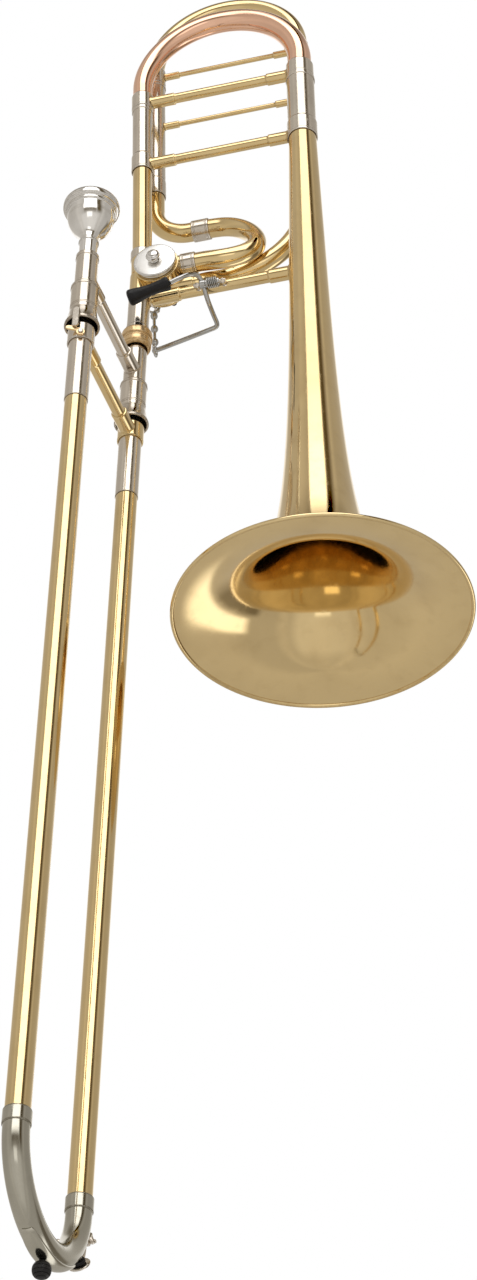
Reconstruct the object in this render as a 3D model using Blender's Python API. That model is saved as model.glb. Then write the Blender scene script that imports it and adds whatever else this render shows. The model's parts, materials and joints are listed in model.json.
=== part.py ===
"""Slide trombone with a rotary valve loop, built upright with the bell mouth down.

The bell mouth's centre is the origin, +Z runs from the slide bow up to the tuning bow,
+X runs from the neck pipe to the bell, and -Y is the side that faces the player's thumb.
All sizes are in metres.
"""
import math

import bmesh
import bpy
import numpy as np
from mathutils import Matrix, Vector

# Overall layout
NECK_TO_BELL = 0.1250
LOOP_BACK = 0.0226
LOOP_LEFT_X = 0.0040
LOOP_RIGHT_X = 0.1197
SLIDE_SPACING = 0.1004
SLIDE_TILT_X = math.radians(2.15)
SLIDE_TILT_Y = math.radians(1.63)
SLIDE_TURN = math.radians(4.15)
SLIDE_PIVOT_Z = 0.3659

# Fits between pieces
SEAT_GAP = 0.0003
RUN_GAP = 0.00008
SHAFT_GAP = 0.00006
WALL = 0.0006

# Bell
MOUTH_R = 0.1016
MOUTH_BEAD_R = 0.0016
FLARE_START = 0.0100
FLARE_POWER = 0.565
TAIL_R = 0.0105
TAIL_BLEND_Z = 0.3300
BELL_COLLAR_Z = 0.4635
BELL_WALL = 0.0007
FLARE_SEAM_Z = 0.0380
STEM_SEAM_Z = 0.1600

# Tuning slide
COLLAR_LENGTH = 0.0165
NECK_COLLAR_Z = 0.4605
SLEEVE_TOP_Z = 0.5295
FERRULE_LENGTH = 0.0152
NECK_R = 0.0073
NECK_LEG_R = 0.0071
BELL_LEG_R = 0.0101
NECK_FERRULE_R = 0.0084
BELL_FERRULE_R = 0.0106
BOW_NECK_R = 0.0075
BOW_BELL_R = 0.0092
BOW_CENTRE_Z = 0.5527
BRACE_Z = 0.4685
TUNING_BRACE_Z = 0.5370
BRACE_R = 0.0039
BRACE_SOCKET_R = 0.0047
BRACE_SOCKET = 0.0180

# Valve loop
LOOP_R = 0.0073
LOOP_FERRULE_R = 0.0083
LOOP_SLEEVE_R = 0.0079
LOOP_SLEEVE_Z = 0.4550
LOOP_SLEEVE_TOP = 0.5800
LOOP_FERRULE = 0.0170
LOOP_BOW_Z = 0.5975
LOOP_BRACE_Z = 0.5330
LOOP_SLIDE_BRACE_Z = 0.5900
THIN_BRACE_R = 0.0019
THIN_SOCKET_R = 0.0028
THIN_SOCKET = 0.0115
LOOP_RUN_Z = 0.4105
LOOP_BEND_R = 0.0270
RETURN_CENTRE_X = 0.0540
RETURN_SAG = 5.0
RETURN_SAG_X = 0.0430
SWEEP_BEND_R = 0.0580
SWEEP_Z = 0.3566

# Valve
VALVE_X = 0.0135
VALVE_Z = 0.3488
ROTOR_R = 0.0152
CASING_R = 0.0168
PORT_END_X = VALVE_X + CASING_R + 0.0002  # end of the upper port's stub
CASING_FRONT = 0.0106
CASING_BACK = 0.0166
PORT_Z = 0.3536
LOW_PORT_Y = 0.0076
LOW_PORT_Z = 0.3388
STUB_R = 0.0081
PLATE_R = 0.0160
SHAFT_R = 0.0030
CRANK_R = 0.0130
CRANK_REST = math.radians(220.0)
CRANK_Y = 0.0228
CRANK_SWING = math.radians(80.0)
STOP_MARGIN = 0.42

# Hand slide, measured down the slide from its pivot
RECEIVER_TOP = 0.0450
NUT_TOP = 0.0715
NUT_BOTTOM = 0.0930
SOCKET_TOP = 0.0960
BARREL_TOP = 0.1284
BARREL_BOTTOM = 0.1680
MOUTHPIECE_RIM = 0.0440
MOUTH_RECEIVER_TOP = 0.0974
INNER_BRACE_S = 0.1172
OUTER_BRACE_S = 0.1775
LATCH_S = 0.1822
LATCH_FACING = -70.0
STOCKING_TOP = 0.1400
STOCKING_BOTTOM = 0.2373
INNER_TUBE_END = 0.7750
BOW_FERRULE_TOP = 0.7908
BOW_FERRULE_BOTTOM = 0.8006
SLIDE_BOW_S = 0.8012
SLIDE_BOW_DEPTH = 0.0475
INNER_TUBE_R = 0.00695
OUTER_BORE_R = 0.00725
OUTER_TUBE_R = 0.00765
STOCKING_R = 0.0081
BARREL_R = 0.0099
BARREL_MOUTH_R = 0.0124
SLIDE_BOW_R = 0.0080
SLIDE_FERRULE_R = 0.0087
SLIDE_BRACE_R = 0.0046
SLIDE_SOCKET_R = 0.0057

# Thumb lever
LEVER_Y = -0.0100
LEVER_X0 = 0.0462
LEVER_X1 = 0.0610
LOW_BRACE_Z = VALVE_Z - CASING_R - 0.0074
LEVER_Z = LOW_BRACE_Z - 0.0050
LOW_BRACE_R = 0.0045
LOW_SOCKET_R = 0.0053
LEVER_ROD_R = 0.0016
LINK_Y = 0.0268
LINK_Z = 0.2985
LINK_X = 0.0026

SEGMENTS = 14
BEND_SEGMENTS = 12
SMALL_SEGMENTS = 10


def clear_scene():
    """Remove every object that is in the file."""
    for item in list(bpy.data.objects):
        bpy.data.objects.remove(item, do_unlink=True)


def finish(name, colour, roughness, metallic):
    """Make one surface material."""
    made = bpy.data.materials.new(name)
    made.use_nodes = True
    shader = made.node_tree.nodes["Principled BSDF"]
    shader.inputs["Base Color"].default_value = (*colour, 1.0)
    shader.inputs["Roughness"].default_value = roughness
    shader.inputs["Metallic"].default_value = metallic
    made.diffuse_color = (*colour, 1.0)
    return made


FINISHES = {
    "yellow_brass": ((0.78, 0.57, 0.22), 0.18, 1.0),
    "rose_brass": ((0.80, 0.45, 0.28), 0.18, 1.0),
    "nickel": ((0.62, 0.58, 0.51), 0.16, 1.0),
    "silver": ((0.86, 0.85, 0.82), 0.12, 1.0),
    "chrome": ((0.58, 0.58, 0.58), 0.12, 1.0),
    "nut_brass": ((0.72, 0.46, 0.14), 0.25, 1.0),
    "rubber": ((0.015, 0.015, 0.015), 0.55, 0.0),
    "cork": ((0.09, 0.06, 0.04), 0.85, 0.0),
}


def neck_frame(x, y, z):
    """Point given from the neck pipe's axis, with heights from the bell mouth."""
    return Vector((x - NECK_TO_BELL, y, z))


def slide_matrix():
    """Frame of the hand slide: +Z up the slide, its other leg towards -Y."""
    up = Vector((math.tan(SLIDE_TILT_X), math.tan(SLIDE_TILT_Y), 1.0)).normalized()
    across = Vector((math.sin(SLIDE_TURN), math.cos(SLIDE_TURN), 0.0))
    across = (across - up * across.dot(up)).normalized()
    side = across.cross(up)
    basis = Matrix((side, across, up)).transposed().to_4x4()
    return Matrix.Translation(neck_frame(0.0, 0.0, SLIDE_PIVOT_Z)) @ basis


SLIDE = slide_matrix()
OTHER_LEG = SLIDE @ Matrix.Translation((0.0, -SLIDE_SPACING, 0.0))
NECK = Matrix.Translation(neck_frame(0.0, 0.0, 0.0))
LOOP_LEFT = Matrix.Translation(neck_frame(LOOP_LEFT_X, LOOP_BACK, 0.0))
LOOP_RIGHT = Matrix.Translation(neck_frame(LOOP_RIGHT_X, LOOP_BACK, 0.0))
ALONG_X = Matrix.Rotation(math.radians(90.0), 4, "Y")
ALONG_Y = Matrix.Rotation(math.radians(-90.0), 4, "X")
VALVE = Matrix.Translation(neck_frame(VALVE_X, 0.0, VALVE_Z)) @ ALONG_Y


def store(name, build, finish_name, origin=None, sharp=35.0, cutter=False):
    """Turn a bmesh into a named object with its origin at a given point."""
    bmesh.ops.remove_doubles(build, verts=build.verts, dist=1e-7)
    bmesh.ops.recalc_face_normals(build, faces=build.faces)
    if build.calc_volume(signed=True) < 0.0:
        bmesh.ops.reverse_faces(build, faces=build.faces)
    mesh = bpy.data.meshes.new(name)
    if origin is not None:
        bmesh.ops.translate(build, verts=build.verts, vec=-Vector(origin))
    build.to_mesh(mesh)
    build.free()
    mesh.polygons.foreach_set("use_smooth", [True] * len(mesh.polygons))
    mesh.set_sharp_from_angle(angle=math.radians(sharp))
    item = bpy.data.objects.new(name, mesh)
    if origin is not None:
        item.location = Vector(origin)
    bpy.context.collection.objects.link(item)
    if cutter:
        item.hide_render = True
        item.display_type = "WIRE"
    else:
        mesh.materials.append(MATERIALS[finish_name])
    return item


def ring_faces(build, first, second):
    """Join two rings of vertices with a band of faces."""
    count = len(first)
    for index in range(count):
        after = (index + 1) % count
        build.faces.new((first[index], first[after], second[after], second[index]))


def turned(profile, matrix, segments=SEGMENTS, build=None):
    """Spin a profile of radius and height around the matrix's Z axis.

    A profile that starts and ends on the axis makes a solid. Any other profile is a
    closed outline, which makes a hollow ring or tube.
    """
    build = build or bmesh.new()
    solid = profile[0][0] == 0.0 and profile[-1][0] == 0.0
    rows = []
    for radius, height in profile:
        if radius == 0.0:
            rows.append([build.verts.new(matrix @ Vector((0.0, 0.0, height)))])
            continue
        row = []
        for index in range(segments):
            angle = 2.0 * math.pi * index / segments
            point = Vector((radius * math.cos(angle), radius * math.sin(angle), height))
            row.append(build.verts.new(matrix @ point))
        rows.append(row)
    pairs = list(zip(rows, rows[1:]))
    if not solid:
        pairs.append((rows[-1], rows[0]))
    for first, second in pairs:
        if len(first) == 1:
            for index in range(segments):
                build.faces.new((first[0], second[index], second[(index + 1) % segments]))
        elif len(second) == 1:
            for index in range(segments):
                build.faces.new((first[(index + 1) % segments], first[index], second[0]))
        else:
            ring_faces(build, first, second)
    return build


def rod_profile(radius, low, high, edge=0.0):
    """Outline of a plain solid rod with slightly broken edges."""
    if edge == 0.0:
        return [(0.0, low), (radius, low), (radius, high), (0.0, high)]
    return [
        (0.0, low),
        (radius - edge, low),
        (radius, low + edge),
        (radius, high - edge),
        (radius - edge, high),
        (0.0, high),
    ]


def path_frames(points):
    """Directions and side vectors along a path, without any twist."""
    count = len(points)
    forward = []
    for index in range(count):
        before = points[max(index - 1, 0)]
        after = points[min(index + 1, count - 1)]
        forward.append((after - before).normalized())
    start = Vector((0.0, 1.0, 0.0))
    if abs(forward[0].dot(start)) > 0.9:
        start = Vector((0.0, 0.0, 1.0))
    side = (start - forward[0] * start.dot(forward[0])).normalized()
    frames = []
    for index in range(count):
        if index:
            turn = forward[index - 1].rotation_difference(forward[index])
            side = (turn @ side).normalized()
        frames.append((side, forward[index].cross(side).normalized()))
    return frames


def swept(points, outer, inner=None, segments=SEGMENTS, build=None):
    """Pipe or rod along a path, with a radius for every point."""
    build = build or bmesh.new()
    frames = path_frames(points)
    layers = []
    for radii in (outer, inner):
        if radii is None:
            continue
        rows = []
        for point, (side, rise), radius in zip(points, frames, radii):
            row = []
            for index in range(segments):
                angle = 2.0 * math.pi * index / segments
                offset = side * math.cos(angle) + rise * math.sin(angle)
                row.append(build.verts.new(point + offset * radius))
            rows.append(row)
        for first, second in zip(rows, rows[1:]):
            ring_faces(build, first, second)
        layers.append(rows)
    if inner is None:
        build.faces.new(layers[0][0])
        build.faces.new(layers[0][-1])
    else:
        ring_faces(build, layers[0][0], layers[1][0])
        ring_faces(build, layers[0][-1], layers[1][-1])
    return build


def arc_points(centre, first, second, radius, start, stop, steps):
    """Points on an arc that starts at angle 0 along first and turns to second."""
    made = []
    for index in range(steps + 1):
        angle = start + (stop - start) * index / steps
        made.append(centre + (first * math.cos(angle) + second * math.sin(angle)) * radius)
    return made


def smooth_path(points, steps):
    """Rounded path through the given points."""
    made = []
    padded = [points[0] * 2.0 - points[1], *points, points[-1] * 2.0 - points[-2]]
    for index in range(1, len(padded) - 2):
        a, b, c, d = padded[index - 1:index + 3]
        for step in range(steps):
            t = step / steps
            value = b * 2.0 + (c - a) * t
            value += (a * 2.0 - b * 5.0 + c * 4.0 - d) * t * t
            value += (b * 3.0 - a - c * 3.0 + d) * t * t * t
            made.append(value * 0.5)
    made.append(points[-1].copy())
    return made


def combine(item, other, operation, solver="EXACT"):
    """Add a Boolean to a piece and hide the other solid."""
    change = item.modifiers.new(operation.lower(), "BOOLEAN")
    change.operation = operation
    change.solver = solver
    change.object = other
    other.hide_render = True
    other.display_type = "WIRE"
    return item


def cut_tool(name, build):
    """Keep a solid only as a tool for a Boolean."""
    return store(name, build, None, cutter=True)


def cylinder_tool(name, radius, matrix, low, high, segments=SEGMENTS):
    """Plain cylinder used as a Boolean tool."""
    return cut_tool(name, turned(rod_profile(radius, low, high), matrix, segments))


def between(start, stop):
    """Matrix at start whose Z axis points to stop, and the distance between them."""
    span = stop - start
    turn = Vector((0.0, 0.0, 1.0)).rotation_difference(span.normalized())
    return Matrix.Translation(start) @ turn.to_matrix().to_4x4(), span.length


def brace(name, start, stop, radius, socket_radius, socket, finish_name, ends, segments=16):
    """Tubular brace with a larger socket at each end, cut to sit on its two tubes.

    Each entry of ends is the matrix of a tube's axis and the tube's radius there.
    """
    matrix, length = between(start, stop)
    step = 0.0004
    profile = [
        (0.0, 0.0),
        (socket_radius, 0.0),
        (socket_radius, socket - step),
        (socket_radius - step, socket),
        (radius, socket),
        (radius, length - socket),
        (socket_radius - step, length - socket),
        (socket_radius, length - socket + step),
        (socket_radius, length),
        (0.0, length),
    ]
    item = store(name, turned(profile, matrix, segments), finish_name)
    for index, (axis, tube_radius) in enumerate(ends):
        tool = cylinder_tool(f"{name}_end_tool_{index}", tube_radius + SEAT_GAP, axis, -0.03, 0.03, 32)
        combine(item, tool, "DIFFERENCE")
    return item


def flare_radius(height):
    """Outside radius of the bell at a height above its mouth."""
    flare = MOUTH_R * (FLARE_START / (height + FLARE_START)) ** FLARE_POWER
    if height <= TAIL_BLEND_Z:
        return flare
    edge = MOUTH_R * (FLARE_START / (TAIL_BLEND_Z + FLARE_START)) ** FLARE_POWER
    share = (height - TAIL_BLEND_Z) / (BELL_COLLAR_Z - TAIL_BLEND_Z)
    return edge + (TAIL_R - edge) * min(share, 1.0)


def bell_wall(height):
    """Outside and inside points of the bell's sheet at a height above its mouth."""
    outer_r = flare_radius(height)
    slope = (flare_radius(height + 0.0005) - flare_radius(max(height - 0.0005, 0.0))) / 0.001
    lean = math.sqrt(1.0 + slope * slope)
    return (outer_r, height), (outer_r - BELL_WALL / lean, height + BELL_WALL * slope / lean)


def bell_stretch(name, heights, inner_heights, bead=()):
    """One stretch of the bell, from the end towards its mouth up to the other end."""
    outer = [bell_wall(h)[0] for h in heights]
    inner = [bell_wall(h)[1] for h in reversed(inner_heights)]
    low, high = outer[0][1], outer[-1][1]
    inner[0] = (inner[0][0], high)
    if bead:
        outer = [*bead, *outer]
        inner.append((MOUTH_R - MOUTH_BEAD_R * 2.4, 0.0008))
    else:
        inner[-1] = (inner[-1][0], low)
    return store(name, turned(outer + inner, Matrix.Identity(4), 40), "yellow_brass", sharp=60.0)


def build_bell():
    """Thin flaring bell with a rolled wire at its mouth, in a flare, a stem and a tail."""
    bead = []
    for step in range(5):
        angle = math.radians(-120.0 + 200.0 * step / 4)
        bead.append((
            MOUTH_R - MOUTH_BEAD_R + MOUTH_BEAD_R * math.cos(angle),
            MOUTH_BEAD_R + MOUTH_BEAD_R * math.sin(angle),
        ))
    flare = [0.0022, 0.0055, 0.0100, 0.0165, 0.0255, FLARE_SEAM_Z]
    bell_stretch("bell", flare, [0.0024, 0.0060, 0.0110, 0.0180, 0.0270, FLARE_SEAM_Z], bead)
    stem = [FLARE_SEAM_Z + SEAT_GAP, 0.0550, 0.0790, 0.1120, STEM_SEAM_Z]
    bell_stretch("bell_stem", stem, stem)
    top = BELL_COLLAR_Z + COLLAR_LENGTH - 0.0025
    tail = [STEM_SEAM_Z + SEAT_GAP, 0.2300, TAIL_BLEND_Z, BELL_COLLAR_Z, top]
    bell_stretch("bell_tail", tail, tail)


def sleeve(name, matrix, low, collar, high, collar_r, body_r, bore_r, seat_r, finish_name):
    """Outer tube of a tuning slide with a seat for the pipe below it."""
    lip = 0.0032
    profile = [
        (collar_r, low),
        (collar_r, low + collar - 0.0005),
        (collar_r - 0.0005, low + collar),
        (body_r, low + collar),
        (body_r, high - lip),
        (body_r + 0.0005, high - lip + 0.0004),
        (body_r + 0.0005, high),
        (bore_r, high),
        (bore_r, low + collar - 0.0018),
        (seat_r, low + collar - 0.0018),
        (seat_r, low),
    ]
    return store(name, turned(profile, matrix), finish_name)


def slide_leg(name, matrix, low, shoulder, top, leg_r, ferrule_r, seat_r, finish_name):
    """Inner leg of a tuning slide with the ferrule that holds its bow."""
    profile = [
        (leg_r, low),
        (leg_r, shoulder),
        (ferrule_r - 0.0004, shoulder),
        (ferrule_r, shoulder + 0.0004),
        (ferrule_r, top - 0.0004),
        (ferrule_r - 0.0004, top),
        (seat_r, top),
        (seat_r, shoulder + 0.0020),
        (leg_r - WALL, shoulder + 0.0020),
        (leg_r - WALL, low),
    ]
    return store(name, turned(profile, matrix), finish_name)


def build_tuning_slide():
    """Main tuning slide and the two fixed sleeves that it runs in."""
    bell_axis = Matrix.Identity(4)
    sleeve("neck_sleeve", NECK, NECK_COLLAR_Z, COLLAR_LENGTH, SLEEVE_TOP_Z, NECK_FERRULE_R,
           NECK_LEG_R + WALL, NECK_LEG_R + RUN_GAP, NECK_R + SEAT_GAP, "nickel")
    sleeve("bell_sleeve", bell_axis, BELL_COLLAR_Z, COLLAR_LENGTH, SLEEVE_TOP_Z, BELL_FERRULE_R + 0.0009,
           BELL_LEG_R + WALL, BELL_LEG_R + RUN_GAP, TAIL_R + SEAT_GAP, "nickel")
    low = NECK_COLLAR_Z + 0.0230
    shoulder = SLEEVE_TOP_Z + SEAT_GAP
    top = shoulder + FERRULE_LENGTH
    slide_leg("tuning_leg_neck", NECK, low, shoulder, top, NECK_LEG_R, NECK_FERRULE_R,
              BOW_NECK_R + SEAT_GAP, "nickel")
    slide_leg("tuning_leg_bell", bell_axis, low, shoulder, top, BELL_LEG_R, BELL_FERRULE_R,
              BOW_BELL_R + SEAT_GAP, "nickel")
    radius = NECK_TO_BELL / 2.0
    start = shoulder + 0.0024
    left = neck_frame(0.0, 0.0, start)
    right = Vector((0.0, 0.0, start))
    centre = neck_frame(radius, 0.0, BOW_CENTRE_Z)
    points = [left]
    points += arc_points(centre, Vector((-1, 0, 0)), Vector((0, 0, 1)), radius, 0.0, math.pi, 13)
    points.append(right)
    span = np.linspace(0.0, 1.0, len(points))
    outer = [float(BOW_NECK_R + (BOW_BELL_R - BOW_NECK_R) * share) for share in span]
    inner = [value - WALL for value in outer]
    store("tuning_bow", swept(points, outer, inner), "rose_brass")
    for name, height, left_r, right_r in (
        ("tuning_brace", TUNING_BRACE_Z, NECK_FERRULE_R, BELL_FERRULE_R),
        ("upper_brace", BRACE_Z, NECK_FERRULE_R, BELL_FERRULE_R + 0.0009),
    ):
        brace(
            name,
            neck_frame(0.0, 0.0, height),
            Vector((0.0, 0.0, height)),
            BRACE_R,
            BRACE_SOCKET_R,
            BRACE_SOCKET + 0.0080,
            "yellow_brass",
            ((Matrix.Translation(neck_frame(0.0, 0.0, height)), left_r),
             (Matrix.Translation((0.0, 0.0, height)), right_r)),
        )


def build_neck():
    """Neck pipe from the valve up to the tuning slide's sleeve."""
    low = VALVE_Z + 0.0205
    top = NECK_COLLAR_Z + COLLAR_LENGTH - 0.0021
    profile = [
        (NECK_R, low),
        (NECK_R, top),
        (NECK_R - WALL, top),
        (NECK_R - WALL, low),
    ]
    store("neck_pipe", turned(profile, NECK), "yellow_brass")


def build_loop_slide():
    """Tuning slide of the valve loop, its sleeves and its two thin braces."""
    shoulder = LOOP_SLEEVE_TOP + SEAT_GAP
    for side, matrix in (("left", LOOP_LEFT), ("right", LOOP_RIGHT)):
        sleeve(f"loop_sleeve_{side}", matrix, LOOP_SLEEVE_Z, COLLAR_LENGTH, LOOP_SLEEVE_TOP,
               LOOP_FERRULE_R, LOOP_SLEEVE_R, LOOP_R + RUN_GAP, LOOP_R + SEAT_GAP, "nickel")
        slide_leg(f"loop_leg_{side}", matrix, shoulder - 0.0450, shoulder, shoulder + LOOP_FERRULE,
                  LOOP_R, LOOP_FERRULE_R, LOOP_R + SEAT_GAP, "nickel")
    radius = (LOOP_RIGHT_X - LOOP_LEFT_X) / 2.0
    start = shoulder + 0.0024
    centre = neck_frame(LOOP_LEFT_X + radius, LOOP_BACK, LOOP_BOW_Z - SEAT_GAP)
    points = [neck_frame(LOOP_LEFT_X, LOOP_BACK, start)]
    points += arc_points(centre, Vector((-1, 0, 0)), Vector((0, 0, 1)), radius, 0.0, math.pi, 12)
    points.append(neck_frame(LOOP_RIGHT_X, LOOP_BACK, start))
    count = len(points)
    store("loop_bow", swept(points, [LOOP_R] * count, [LOOP_R - WALL] * count, BEND_SEGMENTS), "yellow_brass")
    for name, height, tube_r in (
        ("loop_slide_brace", LOOP_SLIDE_BRACE_Z, LOOP_FERRULE_R),
        ("loop_brace", LOOP_BRACE_Z, LOOP_SLEEVE_R),
    ):
        left = neck_frame(LOOP_LEFT_X, LOOP_BACK, height)
        right = neck_frame(LOOP_RIGHT_X, LOOP_BACK, height)
        brace(name, left, right, THIN_BRACE_R, THIN_SOCKET_R, THIN_SOCKET + tube_r, "yellow_brass",
              ((Matrix.Translation(left), tube_r), (Matrix.Translation(right), tube_r)), 12)


def ring(name, start, direction, length, outer_r, inner_r, finish_name):
    """Short ferrule around a pipe."""
    matrix, _ = between(start, start + direction)
    edge = 0.0004
    profile = [
        (outer_r - edge, 0.0),
        (outer_r, edge),
        (outer_r, length - edge),
        (outer_r - edge, length),
        (inner_r, length),
        (inner_r, 0.0),
    ]
    store(name, turned(profile, matrix), finish_name)


def return_frame():
    """Centre, radius and lift direction of the loop's return bow."""
    low = neck_frame(RETURN_CENTRE_X, 0.0, PORT_Z)
    high = neck_frame(RETURN_CENTRE_X, LOOP_BACK, LOOP_RUN_Z)
    lift = (high - low).normalized()
    return (low + high) / 2.0, (high - low).length / 2.0, lift


def sagged(point):
    """Point of the return bow after it droops towards the bell side."""
    reach = max(point.x + NECK_TO_BELL - RETURN_SAG_X, 0.0)
    return point - Vector((0.0, 0.0, RETURN_SAG * reach * reach))


def build_loop_pipes():
    """Fixed pipes of the valve loop between the valve and the loop's sleeves."""
    along = Vector((1.0, 0.0, 0.0))
    centre, radius, lift = return_frame()
    joint_x = 0.0400
    points = [neck_frame(PORT_END_X + SEAT_GAP, 0.0, PORT_Z), neck_frame(RETURN_SAG_X, 0.0, PORT_Z)]
    points += arc_points(centre, -lift, along, radius, 0.0, math.pi, 9)
    points.append(neck_frame(joint_x + 0.0066, LOOP_BACK, LOOP_RUN_Z))
    points.append(neck_frame(joint_x + SEAT_GAP, LOOP_BACK, LOOP_RUN_Z))
    points = [sagged(point) for point in points]
    count = len(points)
    store("loop_return_bow", swept(points, [LOOP_R] * count, [LOOP_R - WALL] * count, BEND_SEGMENTS), "yellow_brass")

    bend_centre = neck_frame(LOOP_LEFT_X + LOOP_BEND_R, LOOP_BACK, LOOP_RUN_Z + LOOP_BEND_R)
    points = [neck_frame(joint_x, LOOP_BACK, LOOP_RUN_Z)]
    points += arc_points(bend_centre, Vector((0, 0, -1)), -along, LOOP_BEND_R, 0.0, math.pi / 2, 6)
    points.append(neck_frame(LOOP_LEFT_X, LOOP_BACK, LOOP_SLEEVE_Z + COLLAR_LENGTH - 0.0022))
    count = len(points)
    store("loop_left_bend", swept(points, [LOOP_R] * count, [LOOP_R - WALL] * count, BEND_SEGMENTS), "yellow_brass")

    ring("loop_run_ferrule", neck_frame(0.0333, LOOP_BACK, LOOP_RUN_Z), along, 0.0132,
         LOOP_FERRULE_R, LOOP_R + SEAT_GAP, "nickel")
    ring("loop_port_ferrule", neck_frame(PORT_END_X - 0.0001, 0.0, PORT_Z), along, 0.0112,
         LOOP_FERRULE_R, LOOP_R + SEAT_GAP, "nickel")

    sweep_centre = neck_frame(LOOP_RIGHT_X - SWEEP_BEND_R, LOOP_BACK, SWEEP_Z + SWEEP_BEND_R)
    first_part = [
        neck_frame(0.0336, LOW_PORT_Y, LOW_PORT_Z),
        neck_frame(0.0385, LOW_PORT_Y, LOW_PORT_Z),
        neck_frame(0.0412, LOW_PORT_Y + 0.0004, LOW_PORT_Z + 0.0005),
        neck_frame(0.0485, LOW_PORT_Y + 0.0044, LOW_PORT_Z + 0.0052),
        neck_frame(0.0575, LOW_PORT_Y + 0.0112, LOW_PORT_Z + 0.0120),
        neck_frame(0.0655, LOOP_BACK - 0.0006, SWEEP_Z - 0.0010),
    ]
    points = smooth_path(first_part, 2)
    points += arc_points(sweep_centre, Vector((0, 0, -1)), along, SWEEP_BEND_R, 0.20, math.pi / 2, 6)
    points.append(neck_frame(LOOP_RIGHT_X, LOOP_BACK, LOOP_SLEEVE_Z + COLLAR_LENGTH - 0.0022))
    count = len(points)
    store("loop_right_sweep", swept(points, [LOOP_R] * count, [LOOP_R - WALL] * count, BEND_SEGMENTS), "yellow_brass")


def stub(name, start, stop, outer_r):
    """Solid outside of one pipe stub on the valve casing."""
    matrix, length = between(start, stop)
    return cut_tool(name, turned(rod_profile(outer_r, 0.0, length), matrix))


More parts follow.
